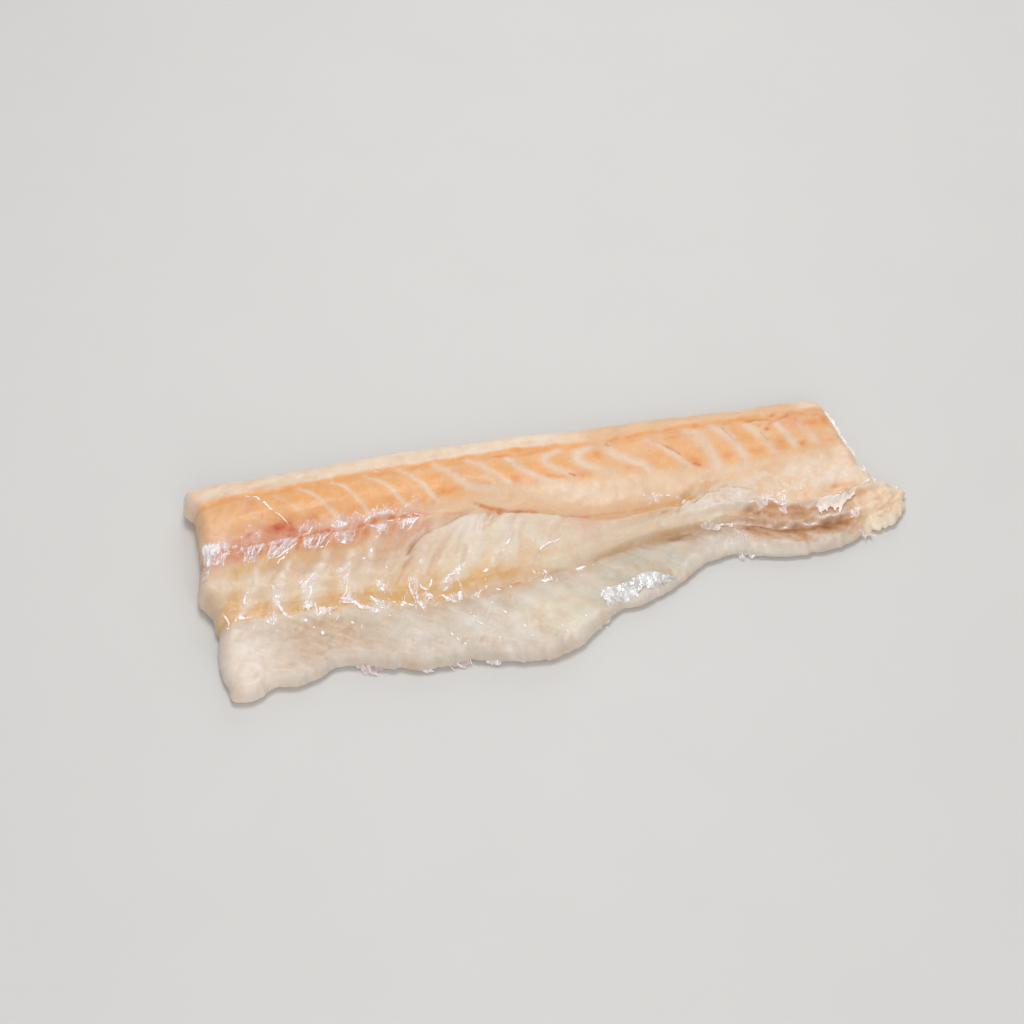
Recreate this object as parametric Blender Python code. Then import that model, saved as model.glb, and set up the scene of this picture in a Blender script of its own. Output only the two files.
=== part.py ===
"""A raw hake fillet, skinned and boned, lying flat with its bone side up.

Blender script, in metres, +Z up. The head cut is at -X, the tail at +X, the thin belly flap at -Y
and the thick back loin at +Y. The fillet is one solid: a loft whose cross-section changes all the
way along. Guide lines run from head to tail (belly rim, flap crease, fold lips, bone seam, back
furrow), and each cross-section is a smooth curve through them. Every number in the tables below is
a measure in millimetres, as with a ruler laid along the fillet: "along" starts at the head cut,
"across" starts at the belly side.
"""

import bpy
import numpy as np

MM = 0.001

# ---------------------------------------------------------------- driving dimensions
LOIN_HEIGHT = 18.5  # thickest part of the back loin
FLAP_HEIGHT = 9.6  # belly flap beside the head cut
STEP_WIDTH = 1.6  # how far a fold's face leans, from its foot to its lip

# Radius of the rounded rim on each side, and how high above the rest face the rim is widest.
RIM_BELLY = 3.6
RIM_BACK = 7.0
RIM_HEAD = 5.0
RIM_TAIL = 4.0
CORNER_ROUND = 0.4  # of the two sides' rims where they meet: 0 leaves a square corner
FOOT_BELLY = 2.2
FOOT_BACK = 5.0

# Facets
COLUMNS = 116  # along the fillet, between its two rounded ends
RIM_STEPS = 4  # across a rounded rim

# ---------------------------------------------------------------- the outline: (along, across)
BELLY_EDGE = [
    (2, 10.4), (11, 9.9), (22, 12.9), (30, 11.9), (47, 16), (60, 12.5), (72, 8), (80, 6.3),
    (92, 6.5), (104, 3), (122, -0.8), (133, 1.3), (142, 7), (157, 14.6), (164, 15), (182, 21.5),
    (197, 28), (203, 28.3), (217, 24), (232, 21), (244, 21), (256, 24), (264, 26), (270, 28.3),
    (275, 31), (279, 33),
]
BACK_EDGE = [
    (2, 108.8), (10, 109.3), (20, 109.3), (32, 107.7), (60, 106.9), (90, 106), (135, 102.3),
    (185, 98), (235, 94.3), (250, 93), (276, 91),
]
# The two cut ends: (across, along)
HEAD_CUT = [
    (8, 4), (14, 4), (25, 2.8), (33, 4), (42, 5.5), (49, 5.5), (53, 4), (58, 1.5), (63, 2.5),
    (72, 6.2), (82, 7), (90, 7.6), (96, 8.4), (101, 5.8), (108, 5.4),
]
TAIL_CUT = [
    (29, 276.5), (34, 277), (39, 277.2), (42, 276), (45, 269.5), (48, 268.6), (56, 265),
    (62, 264.6), (72, 262.6), (80, 262), (92, 262),
]

# ---------------------------------------------------------------- guide lines: (along, across)
FLAP_CREASE = [  # where the belly flap meets the thicker flesh, then the foot of the lower fold
    (0, 41), (20, 40.5), (50, 38), (60, 36), (72, 33), (85, 31.5), (130, 31.5), (145, 33.5),
    (160, 37), (175, 40), (190, 40.5), (206, 41), (213, 39.5), (220, 36), (228, 33.2),
    (240, 32.5), (258, 32), (268, 34.5), (276, 38.3),
]
FOLD_FOOT = [  # foot of the upper, ragged fold near the tail
    (0, 46), (60, 41), (80, 37), (130, 36.5), (160, 42), (183, 45.5), (203, 44.8), (209, 44.2),
    (213, 43.2), (218, 42.8), (223, 42), (229, 40), (238, 38.4), (248, 38.4), (262, 41),
    (276, 41.5),
]
LOBE_EDGE = [  # upper edge of the soft lobes, then the crease below the loin
    (0, 58), (40, 56), (70, 53), (80, 52.3), (85, 57), (91, 61.5), (98, 63.5), (108, 66.5),
    (113, 66.5), (118, 65), (123, 64), (130, 62.3), (137, 60), (146, 56.5), (155, 53.5),
    (165, 52), (190, 52), (198, 54), (210, 57), (262, 57), (276, 56),
]
BONE_SEAM = [  # line where the bones lay, then the rounded lower side of the loin
    (0, 71), (10, 72), (20, 73), (35, 73.3), (45, 72.2), (55, 71), (75, 70.7), (93, 70),
    (102, 70.2), (108, 71.5), (113, 70.6), (118, 68.2), (123, 66.5), (130, 64.8), (137, 62.8),
    (146, 59.5), (155, 56.8), (165, 55.3), (190, 55.3), (198, 57.5), (210, 61), (262, 61),
    (276, 60),
]
BACK_FURROW = [  # line between the loin and the pale strip along the back
    (0, 92), (12, 93.5), (25, 94.5), (45, 92.7), (70, 92), (100, 90.2), (130, 88.5),
    (150, 87), (170, 85), (190, 86), (225, 85), (245, 84), (276, 82),
]

# ---------------------------------------------------------------- heights: (along, height)
EDGE_HEIGHT = [(0, 8.4), (45, 7.6), (120, 8.6), (150, 7), (200, 5.2), (260, 4.8), (276, 4.5)]
FLAP_CREST = [(0, FLAP_HEIGHT), (60, 9.2), (120, 10), (150, 8.6), (180, 7), (200, 6), (230, 5.4),
              (260, 5), (276, 4.8)]
CREASE_HEIGHT = [(0, 10.6), (60, 10.4), (120, 10.2), (150, 8.4), (180, 5.8), (205, 4.9),
                 (220, 3.8), (240, 3.6), (258, 4.4), (276, 4)]
CREASE_STEP = [(0, 0.7), (60, 1.1), (120, 1.4), (150, 2.3), (180, 3.4), (203, 4.1),
               (215, 3.4), (235, 3.3), (258, 1.7), (276, 0.8)]
FOLD_HEIGHT = [(0, 12), (60, 12.4), (120, 12.6), (150, 11.8), (180, 10.2), (203, 9.6),
               (210, 8.2), (225, 7.3), (243, 7), (258, 6.6), (276, 5.4)]
FOLD_STEP = [(0, 0.2), (203, 0.4), (210, 2.4), (225, 3.4), (243, 3), (258, 2.2), (276, 0.7)]
LOBE_CREST = [(0, 13.6), (40, 14), (80, 14), (110, 14.2), (130, 14), (160, 12.6), (200, 11.6),
              (230, 11.2), (262, 9), (276, 6.6)]
LOBE_EDGE_HEIGHT = [(0, 14.2), (40, 14.6), (72, 13.6), (90, 12.3), (110, 11.2), (121, 10.4),
                    (155, 10.5), (180, 10), (198, 10.2), (215, 11.6), (262, 9.6), (276, 7)]
SEAM_HEIGHT = [(0, 13.4), (20, 14), (60, 14.2), (93, 14.4), (104, 13.8), (113, 12.6),
               (122, 13), (155, 13.4), (180, 12.8), (206, 12.3), (230, 12), (262, 10), (276, 8)]
LOIN_CREST = [(0, 15.5), (25, 17.8), (70, LOIN_HEIGHT), (120, 18), (170, 15.8), (220, 13.2),
              (262, 10.6), (276, 9)]
FURROW_HEIGHT = [(0, 14.6), (25, 16.4), (70, 17.2), (120, 16.6), (170, 14.6), (220, 12.2),
                 (262, 9.6), (276, 8)]
BACK_HEIGHT = [(0, 12.4), (25, 14), (70, 14.4), (120, 14), (170, 12.6), (220, 10.6), (262, 8.6),
               (276, 7.5)]

# ---------------------------------------------------------------- low relief
# A septum is the thin sheet between two blocks of muscle: it shows as a shallow slanting groove.
SEPTUM_WIDTH = 1.6
LOIN_SEPTA = dict(first=20.5, pitch=13.4, sweep=0.66, depth=0.45)
LOBE_SEPTA = dict(first=13.5, pitch=13.3, sweep=0.6, depth=0.9)
SEAM_DEPTH = 1.1
SEAM_END = 112  # along: the bone seam fades out here
FURROW_DEPTH = 0.7
CRAG_HEIGHT = 0.4
TORN_FROM = 200  # along: from here to the tail the flesh is torn and ragged
EDGE_WANDER = 0.35  # how far the torn outline strays from its smooth line
LIP_HEIGHT = 1.1  # the lobes' upper edge stands this much above the recess beyond it
LIP_FROM, LIP_TO = 78, 170  # along: where that lip shows


def smooth_curve(points):
    """A function through a few (station, value) points that never overshoots between two of them."""
    station, value = np.array(points, float).T
    gap = np.diff(station)
    rate = np.diff(value) / gap
    slope = np.zeros(len(station))
    slope[0], slope[-1] = rate[0], rate[-1]
    for i in range(1, len(station) - 1):
        if rate[i - 1] * rate[i] > 0:
            slope[i] = 2 * rate[i - 1] * rate[i] / (rate[i - 1] + rate[i])

    def at(x):
        x = np.clip(x, station[0], station[-1])
        i = np.clip(np.searchsorted(station, x, side="right") - 1, 0, len(gap) - 1)
        u = (x - station[i]) / gap[i]
        return hermite(value[i], value[i + 1], slope[i] * gap[i], slope[i + 1] * gap[i], u)

    return at


def hermite(start, end, leave, arrive, u):
    """Cubic from start to end, with those end slopes, at u from 0 to 1."""
    return (
        start * (1 - 3 * u**2 + 2 * u**3)
        + end * (3 * u**2 - 2 * u**3)
        + leave * (u - 2 * u**2 + u**3)
        + arrive * (u**3 - u**2)
    )


def bell(distance, half_width):
    return np.exp(-((distance / half_width) ** 2))


def fade(low, high, x):
    """0 below low, 1 above high, smooth between; the other way round if low is above high."""
    u = np.clip((x - low) / (high - low), 0, 1)
    return u * u * (3 - 2 * u)


def uneven(x, y, size, seed):
    """Smooth irregular bumps of about that size: a sum of waves in seeded directions."""
    rng = np.random.default_rng(seed)
    total = 0
    for _ in range(9):
        turn, phase = rng.uniform(0, 2 * np.pi, 2)
        wave = 2 * np.pi / (size * rng.uniform(0.7, 1.9))
        total = total + np.sin(wave * (x * np.cos(turn) + y * np.sin(turn)) + phase)
    return total / 4


def between(low, high, share):
    return lambda x: low(x) + (high(x) - low(x)) * share


def raised(base, step):
    return lambda x: base(x) + step(x)


def shifted(line, distance):
    return lambda x: line(x) + distance


def wandering(line, size, seed):
    """The same line, torn a little to and fro in waves of about that size."""
    return lambda t: line(t) + EDGE_WANDER * uneven(t, 0 * t, size, seed)


belly_edge = wandering(smooth_curve(BELLY_EDGE), 9, seed=1)
back_edge = smooth_curve(BACK_EDGE)
head_cut = smooth_curve(HEAD_CUT)
tail_cut = wandering(smooth_curve(TAIL_CUT), 7, seed=2)
flap_crease = smooth_curve(FLAP_CREASE)
fold_foot = smooth_curve(FOLD_FOOT)
lobe_edge = smooth_curve(LOBE_EDGE)
bone_seam = smooth_curve(BONE_SEAM)
back_furrow = smooth_curve(BACK_FURROW)
crease_height = smooth_curve(CREASE_HEIGHT)
fold_height = smooth_curve(FOLD_HEIGHT)

# Each guide line from the belly to the back: across, height, and the facets up to the next line.
GUIDE_LINES = [
    (belly_edge, smooth_curve(EDGE_HEIGHT), 0),
    (between(belly_edge, flap_crease, 0.62), smooth_curve(FLAP_CREST), 3),
    (flap_crease, crease_height, 1),
    (shifted(flap_crease, STEP_WIDTH), raised(crease_height, smooth_curve(CREASE_STEP)), 2),
    (fold_foot, fold_height, 1),
    (shifted(fold_foot, STEP_WIDTH), raised(fold_height, smooth_curve(FOLD_STEP)), 3),
    (between(fold_foot, lobe_edge, 0.6), smooth_curve(LOBE_CREST), 3),
    (lobe_edge, smooth_curve(LOBE_EDGE_HEIGHT), 2),
    (bone_seam, smooth_curve(SEAM_HEIGHT), 5),
    (between(bone_seam, back_furrow, 0.6), smooth_curve(LOIN_CREST), 3),
    (back_furrow, smooth_curve(FURROW_HEIGHT), 2),
    (back_edge, smooth_curve(BACK_HEIGHT), 0),
]


def flesh_height(x, y):
    """Height of the cross-section at x: a smooth curve through the guide lines, read at y."""
    across = np.array([line[0](x) for line in GUIDE_LINES])
    height = np.array([line[1](x) for line in GUIDE_LINES])
    gap = np.diff(across, axis=0)
    rate = np.diff(height, axis=0) / gap
    product = rate[:-1] * rate[1:]
    slope = np.zeros_like(height)
    slope[1:-1] = np.where(product > 0, 2 * product / (rate[:-1] + rate[1:] + 1e-12), 0)
    below = np.clip((across[1:-1] < y).sum(axis=0), 0, len(gap) - 1)[None]

    def pick(values, i):
        return np.take_along_axis(values, i, axis=0)[0]

    reach = pick(gap, below)
    u = np.clip((y - pick(across, below)) / reach, 0, 1)
    return hermite(
        pick(height, below),
        pick(height, below + 1),
        pick(slope, below) * reach,
        pick(slope, below + 1) * reach,
        u,
    )


def septa(x, reach, first, pitch, sweep, depth):
    """Grooves one pitch apart that slant as they run down from a line; reach is the way down it."""
    phase = (x - first - sweep * reach) / pitch
    off_groove = np.abs(phase - np.round(phase)) * pitch
    return -depth * bell(off_groove, SEPTUM_WIDTH)


def relief(x, y):
    """What lies on the smooth cross-section: grooves, the seam, the furrow and crags."""
    seam, furrow, lobe, crease = bone_seam(x), back_furrow(x), lobe_edge(x), flap_crease(x)
    on_loin = fade(furrow + 1, furrow - 2, y) * fade(seam + 1, seam + 5, y)
    on_lobes = fade(crease + 1, crease + 4, y) * fade(lobe + 3, lobe - 4, y) * fade(205, 175, x)
    bumps = septa(x, furrow - y, **LOIN_SEPTA) * on_loin
    bumps += septa(x, y - crease, **LOBE_SEPTA) * on_lobes
    lip = bell(lobe - y - 1, 4) * fade(-0.3, 1, lobe - y)
    bumps += LIP_HEIGHT * lip * fade(LIP_FROM, LIP_FROM + 8, x) * fade(LIP_TO, LIP_TO - 40, x)
    bumps -= SEAM_DEPTH * bell(y - seam, 1.4) * fade(SEAM_END, SEAM_END - 20, x)
    bumps -= FURROW_DEPTH * bell(y - furrow, 1.6)
    torn = 0.35 + 0.65 * fade(TORN_FROM - 10, TORN_FROM + 20, x) * fade(60, 48, y)
    return bumps + CRAG_HEIGHT * torn * uneven(x, y, 7, seed=5)


def rim_places(radius):
    """Distances in from the edge of the rows across a rounded rim, evenly spaced round its arc."""
    return radius * (1 - np.cos(np.linspace(0, np.pi / 2, RIM_STEPS + 1)))


def row_lines():
    """Each lengthwise row of facet corners, as a function of along: the two rims and the guides."""
    rows = [shifted(belly_edge, d) for d in rim_places(RIM_BELLY)]
    inner = [line[0] for line in GUIDE_LINES[1:-1]] + [shifted(back_edge, -RIM_BACK)]
    for line, (low, high) in zip(GUIDE_LINES[1:-1], zip(inner, inner[1:])):
        rows += [between(low, high, k / line[2]) for k in range(line[2])]
    return rows + [shifted(back_edge, -d) for d in rim_places(RIM_BACK)[::-1]]


def column_places(y):
    """Along, for each column of facet corners: both rounded ends, and even steps between them."""
    head, tail = head_cut(y[:, :1]), tail_cut(y[:, -1:])
    share = np.linspace(0, 1, COLUMNS + 1)[1:-1]
    middle = head + RIM_HEAD + (tail - RIM_TAIL - head - RIM_HEAD) * share
    return np.hstack([head + rim_places(RIM_HEAD), middle, tail - rim_places(RIM_TAIL)[::-1]])


def rim_share(low_side, high_side, low_radius, high_radius):
    """1 on the outline, falling to 0 a radius in from it, and the direction back inwards."""
    low = np.clip(1 - low_side / low_radius, 0, 1)
    high = np.clip(1 - high_side / high_radius, 0, 1)
    return low + high, low * low_radius - high * high_radius


def fillet_grid():
    """Along and across of every facet corner, and its rim factor: 0 on the outline, 1 inside.

    The four sides meet in square corners at first. Each corner is then rounded: a point moves in
    from one side by the more, the nearer it is to the other.
    """
    rows = row_lines()
    x = np.tile(np.linspace(0, 268, COLUMNS + 2 * RIM_STEPS + 1), (len(rows), 1))
    for _ in range(4):
        y = np.array([line(x[j]) for j, line in enumerate(rows)])
        x = column_places(y)
    y = np.array([line(x[j]) for j, line in enumerate(rows)])
    end, end_way = rim_share(x - x[:, :1], x[:, -1:] - x, RIM_HEAD, RIM_TAIL)
    side, side_way = rim_share(y - belly_edge(x), back_edge(x) - y, RIM_BELLY, RIM_BACK)
    x = x + end_way * (1 - np.sqrt(1 - CORNER_ROUND * side**2))
    y = y + side_way * (1 - np.sqrt(1 - CORNER_ROUND * end**2))
    return x, y, np.sqrt((1 - end**2) * (1 - side**2))


def ring_cells(rows, columns):
    """The facets under the rounded rim, as (row, column): all within RIM_STEPS of the outline."""
    for j in range(rows - 1):
        for i in range(columns - 1):
            edge = min(j, rows - 2 - j, i, columns - 2 - i)
            if edge < RIM_STEPS:
                yield j, i


def rest_face_loop(rows, columns):
    """Corners of the flat rest face, in order, as (row, column)."""
    low, top, right = RIM_STEPS, rows - 1 - RIM_STEPS, columns - 1 - RIM_STEPS
    loop = [(j, low) for j in range(low, top)]
    loop += [(top, i) for i in range(low, right)]
    loop += [(j, right) for j in range(top, low, -1)]
    return loop + [(low, i) for i in range(right, low, -1)]


def fillet_mesh():
    """Upper face, rounded rim and flat rest face, as one closed mesh."""
    x, y, rim = fillet_grid()
    rows, columns = x.shape
    foot = FOOT_BELLY + (FOOT_BACK - FOOT_BELLY) * fade(40, 90, y)
    upper = foot + (flesh_height(x, y) + relief(x, y) - foot) * rim
    under = foot * (1 - rim)
    middle = [(x.min() + x.max()) / 2, (y.min() + y.max()) / 2]

    points, number = [], {}

    def corner(j, i, below):
        below = below and 0 < j < rows - 1 and 0 < i < columns - 1
        if (j, i, below) not in number:
            number[j, i, below] = len(points)
            height = under[j, i] if below else upper[j, i]
            points.append([x[j, i] - middle[0], y[j, i] - middle[1], height])
        return number[j, i, below]

    faces = [
        [corner(j, i, 0), corner(j, i + 1, 0), corner(j + 1, i + 1, 0), corner(j + 1, i, 0)]
        for j in range(rows - 1)
        for i in range(columns - 1)
    ]
    faces += [
        [corner(j, i, 1), corner(j + 1, i, 1), corner(j + 1, i + 1, 1), corner(j, i + 1, 1)]
        for j, i in ring_cells(rows, columns)
    ]
    faces.append([corner(j, i, 1) for j, i in rest_face_loop(rows, columns)])

    mesh = bpy.data.meshes.new("hake_fillet")
    mesh.from_pydata((np.array(points) * MM).tolist(), [], faces)
    mesh.validate()
    mesh.shade_smooth()
    return mesh


def flesh_material():
    """Raw white flesh: pale, moist, a little peach."""
    material = bpy.data.materials.new("raw_hake_flesh")
    material.use_nodes = True
    shader = material.node_tree.nodes["Principled BSDF"]
    shader.inputs["Base Color"].default_value = (0.80, 0.66, 0.50, 1)
    shader.inputs["Roughness"].default_value = 0.35
    shader.inputs["Metallic"].default_value = 0.0
    shader.inputs["Subsurface Weight"].default_value = 0.3
    shader.inputs["Subsurface Radius"].default_value = (0.004, 0.0025, 0.0015)
    return material


def build():
    for old in list(bpy.data.objects):
        bpy.data.objects.remove(old)
    fillet = bpy.data.objects.new("hake_fillet", fillet_mesh())
    fillet.data.materials.append(flesh_material())
    parts = bpy.data.collections.new("hake_fillet")
    bpy.context.scene.collection.children.link(parts)
    parts.objects.link(fillet)


build()
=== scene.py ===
"""The looks of a raw hake fillet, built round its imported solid.

The flesh is one fine surface worked out from the same guide lines as the solid, with the grooves
between its flakes, the folds, wrinkles and torn edges in its shape. Thin films, threads and shreds
that cling to it are sheets and strands of their own. Tints are masks worked out over the surface
and mixed in the material. Tables are in millimetres: "along" runs from the head cut to the tail,
"across" from the belly side to the back, and everything is put into the frame's place at the end.
"""

from types import SimpleNamespace

import bpy
import numpy as np
from mathutils import Euler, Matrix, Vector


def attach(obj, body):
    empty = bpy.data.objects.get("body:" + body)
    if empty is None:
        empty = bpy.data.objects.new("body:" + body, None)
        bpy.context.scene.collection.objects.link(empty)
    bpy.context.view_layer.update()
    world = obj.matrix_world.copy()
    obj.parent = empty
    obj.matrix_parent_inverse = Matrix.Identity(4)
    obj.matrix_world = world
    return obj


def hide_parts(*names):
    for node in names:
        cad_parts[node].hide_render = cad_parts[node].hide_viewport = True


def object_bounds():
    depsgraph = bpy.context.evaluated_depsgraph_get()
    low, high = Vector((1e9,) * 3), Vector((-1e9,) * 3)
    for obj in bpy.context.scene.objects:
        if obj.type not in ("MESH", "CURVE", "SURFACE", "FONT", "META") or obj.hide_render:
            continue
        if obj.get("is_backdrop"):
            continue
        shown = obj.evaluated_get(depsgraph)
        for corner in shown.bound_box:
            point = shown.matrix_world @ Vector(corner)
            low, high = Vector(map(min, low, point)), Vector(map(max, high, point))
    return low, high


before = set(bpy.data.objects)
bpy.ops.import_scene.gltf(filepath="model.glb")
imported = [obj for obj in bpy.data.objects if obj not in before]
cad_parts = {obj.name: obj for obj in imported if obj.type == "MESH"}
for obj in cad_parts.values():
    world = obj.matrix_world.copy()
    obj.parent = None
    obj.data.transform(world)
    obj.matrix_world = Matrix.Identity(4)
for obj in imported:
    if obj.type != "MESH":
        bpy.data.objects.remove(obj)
cad_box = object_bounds()

MM = 0.001
BODY, NODE, SLOT = "root", "hake_fillet", "raw_flesh"

# ---------------------------------------------------------------- driving dimensions
LOIN_HEIGHT = 18.5  # thickest part of the back loin
FLAP_HEIGHT = 9.6  # belly flap beside the head cut
STEP_WIDTH = 1.6  # how far a fold's face leans, from its foot to its lip
SOFT_STEP = 1.2  # and how much further it leans towards the head, where the fold is a soft one

# Radius of the rounded rim on each side, and how high above the rest face the rim is widest.
RIM_BELLY = 3.6
RIM_BACK = 7.0
RIM_HEAD = 5.0
RIM_TAIL = 4.0
FOOT_BELLY = 2.2
FOOT_BACK = 5.0
CORNER_ROUND = 0.4  # of the two sides' rims where they meet: 0 leaves a square corner
FLAP_CREST_SHARE = 0.62  # the flap is highest this share of the way from its edge to its crease
CREST_SHARE = 0.6  # and the lobes and the loin this share of the way across
MIDDLE = (139.44, 54.22)  # of the solid's box, along and across

# Facets
COLUMNS = 505  # along the fillet, between its two rounded ends
RIM_STEPS = 8  # across a rounded rim
FINER = 5  # rows between two guide lines, for each one that the solid has
FLAP_ROWS = 22  # over the belly flap, from its rim to its crest
ROUGH_LENGTH = 268  # a first guess at how far the columns reach
ROUNDS = 4  # of placing rows and columns by each other, until they settle

# ---------------------------------------------------------------- the outline: (along, across)
BELLY_EDGE = [
    (2, 10.4), (11, 9.9), (22, 12.9), (30, 11.9), (47, 16), (60, 12.5), (72, 8), (80, 6.3),
    (92, 6.5), (104, 3), (122, -0.8), (133, 1.3), (142, 7), (157, 14.6), (164, 15), (182, 21.5),
    (197, 28), (203, 28.3), (217, 24), (232, 21), (244, 21), (256, 24), (264, 26), (270, 28.3),
    (275, 31), (279, 33),
]
BACK_EDGE = [
    (2, 108.8), (10, 109.3), (20, 109.3), (32, 107.7), (60, 106.9), (90, 106), (135, 102.3),
    (185, 98), (235, 94.3), (250, 93), (276, 91),
]
# The two cut ends: (across, along)
HEAD_CUT = [
    (8, 4), (14, 4), (25, 2.8), (33, 4), (42, 5.5), (49, 5.5), (53, 4), (58, 1.5), (63, 2.5),
    (72, 6.2), (82, 7), (90, 7.6), (96, 8.4), (101, 5.8), (108, 5.4),
]
TAIL_CUT = [
    (29, 276.5), (34, 277), (39, 277.2), (42, 276), (45, 269.5), (48, 268.6), (56, 265),
    (62, 264.6), (72, 262.6), (80, 262), (92, 262),
]

# ---------------------------------------------------------------- guide lines: (along, across)
FLAP_CREASE = [  # where the belly flap meets the thicker flesh, then the foot of the lower fold
    (0, 41), (20, 40.5), (50, 38), (60, 36), (72, 33), (85, 31.5), (130, 31.5), (145, 33.5),
    (160, 37), (175, 40), (190, 40.5), (206, 41), (213, 39.5), (220, 36), (228, 33.2),
    (240, 32.5), (258, 32), (268, 34.5), (276, 38.3),
]
FOLD_FOOT = [  # foot of the upper, ragged fold near the tail
    (0, 46), (60, 41), (80, 37), (130, 36.5), (160, 42), (183, 45.5), (203, 44.8), (209, 44.2),
    (213, 43.2), (218, 42.8), (223, 42), (229, 40), (238, 38.4), (248, 38.4), (262, 41),
    (276, 41.5),
]
LOBE_EDGE = [  # upper edge of the soft lobes, then the crease below the loin
    (0, 58), (40, 56), (70, 53), (80, 52.3), (85, 57), (91, 61.5), (98, 63.5), (108, 66.5),
    (113, 66.5), (118, 65), (123, 64), (130, 62.3), (137, 60), (146, 56.5), (155, 53.5),
    (165, 52), (190, 52), (198, 54), (210, 57), (262, 57), (276, 56),
]
BONE_SEAM = [  # line where the bones lay, then the rounded lower side of the loin
    (0, 71), (10, 72), (20, 73), (35, 73.3), (45, 72.2), (55, 71), (75, 70.7), (93, 70),
    (102, 70.2), (108, 71.5), (113, 70.6), (118, 68.2), (123, 66.5), (130, 64.8), (137, 62.8),
    (146, 59.5), (155, 56.8), (165, 55.3), (190, 55.3), (198, 57.5), (210, 61), (262, 61),
    (276, 60),
]
BACK_FURROW = [  # line between the loin and the pale strip along the back
    (0, 92), (12, 93.5), (25, 94.5), (45, 92.7), (70, 92), (100, 90.2), (130, 88.5),
    (150, 87), (170, 85), (190, 86), (225, 85), (245, 84), (276, 82),
]

# ---------------------------------------------------------------- heights: (along, height)
EDGE_HEIGHT = [(0, 8.4), (45, 7.6), (120, 8.6), (150, 7), (200, 5.2), (260, 4.8), (276, 4.5)]
FLAP_CREST = [(0, FLAP_HEIGHT), (60, 9.2), (120, 10), (150, 8.6), (180, 7), (200, 6), (230, 5.4),
              (260, 5), (276, 4.8)]
CREASE_HEIGHT = [(0, 10.6), (60, 10.4), (120, 10.2), (150, 8.4), (180, 5.8), (205, 4.9),
                 (220, 3.8), (240, 3.6), (258, 4.4), (276, 4)]
CREASE_STEP = [(0, 0.7), (60, 1.1), (120, 1.4), (150, 2.3), (180, 3.4), (203, 4.1),
               (215, 3.4), (235, 3.3), (258, 1.7), (276, 0.8)]
FOLD_HEIGHT = [(0, 12), (60, 12.4), (120, 12.6), (150, 11.8), (180, 10.2), (203, 9.6),
               (210, 8.2), (225, 7.3), (243, 7), (258, 6.6), (276, 5.4)]
FOLD_STEP = [(0, 0), (180, 0.05), (203, 0.4), (210, 2.4), (225, 3.4), (243, 3), (258, 2.2),
             (276, 0.7)]
LOBE_CREST = [(0, 13.6), (40, 14), (80, 14), (110, 14.2), (130, 14), (160, 12.6), (200, 11.6),
              (230, 11.2), (262, 9), (276, 6.6)]
LOBE_EDGE_HEIGHT = [(0, 14.2), (40, 14.6), (72, 13.6), (90, 12.3), (110, 11.2), (121, 10.4),
                    (155, 10.5), (180, 10), (198, 10.2), (215, 11.6), (262, 9.6), (276, 7)]
SEAM_HEIGHT = [(0, 13.4), (20, 14), (60, 14.2), (93, 14.4), (104, 13.8), (113, 12.6),
               (122, 13), (155, 13.4), (180, 12.8), (206, 12.3), (230, 12), (262, 10), (276, 8)]
LOIN_CREST = [(0, 15.5), (25, 17.8), (70, LOIN_HEIGHT), (120, 18), (170, 15.8), (220, 13.2),
              (262, 10.6), (276, 9)]
FURROW_HEIGHT = [(0, 14.6), (25, 16.4), (70, 17.2), (120, 16.6), (170, 14.6), (220, 12.2),
                 (262, 9.6), (276, 8)]
BACK_HEIGHT = [(0, 12.4), (25, 14), (70, 14.4), (120, 14), (170, 12.6), (220, 10.6), (262, 8.6),
               (276, 7.5)]

# ---------------------------------------------------------------- low relief
# Creases between the soft lobes, which overlap like petals: (depth, half width, points)
LOBE_CREASES = [
    (0.8, 0.9, [(111.6, 56), (113.8, 60.5), (117, 64.6)]),
    (0.6, 0.7, [(115.5, 58.6), (118, 62), (121, 65)]),
    (0.3, 1, [(122, 58), (124.4, 60.6), (127.4, 62)]),
    (0.3, 1.4, [(124, 45), (126, 52), (129, 60)]), (0.2, 1.4, [(99, 49), (102, 55), (106, 61)]),
    (0.5, 1, [(70, 53.4), (75, 53), (82, 53.3), (84.4, 56.4), (88, 59.4), (92, 61.6)]),
    (0.35, 1, [(92, 36), (98, 40), (104, 49)]), (0.35, 1, [(111, 38), (117, 45), (122, 51)]),
    (0.35, 1, [(127, 36), (131, 42), (140, 46)]),
    (0.4, 1.2, [(87, 42), (91, 48), (95, 54)]), (0.4, 1.2, [(74, 41), (78, 47), (82, 51.6)]),
    (0.35, 1.4, [(136, 46), (140, 52), (144, 56)]), (0.4, 1, [(103, 32.6), (112, 31.4), (122, 31.6)]),
    (0.3, 2, [(61, 42), (65, 49), (70, 55)]), (0.2, 2, [(47, 42), (51, 49), (56, 55)]),
    (0.2, 2, [(34, 43), (38, 50), (43, 57)]), (0.2, 2, [(20, 44), (25, 51), (30, 57)]),
    (0.5, 0.8, [(256, 40.6), (266, 42), (276, 42.4)]), (0.5, 0.7, [(259, 36), (268, 37.6), (276, 39)]),
    (0.4, 0.7, [(260, 32.4), (268, 33.6), (275, 35.6)]), (0.5, 0.6, [(263, 29), (270, 31.2)]),
]
PETAL_LEAN = (1.6, -0.6)  # from a crease's raised edge back to the crease
# A septum is the thin sheet between two blocks of muscle: it shows as a shallow slanting groove.
LOIN_GROOVE = 0.12
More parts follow.
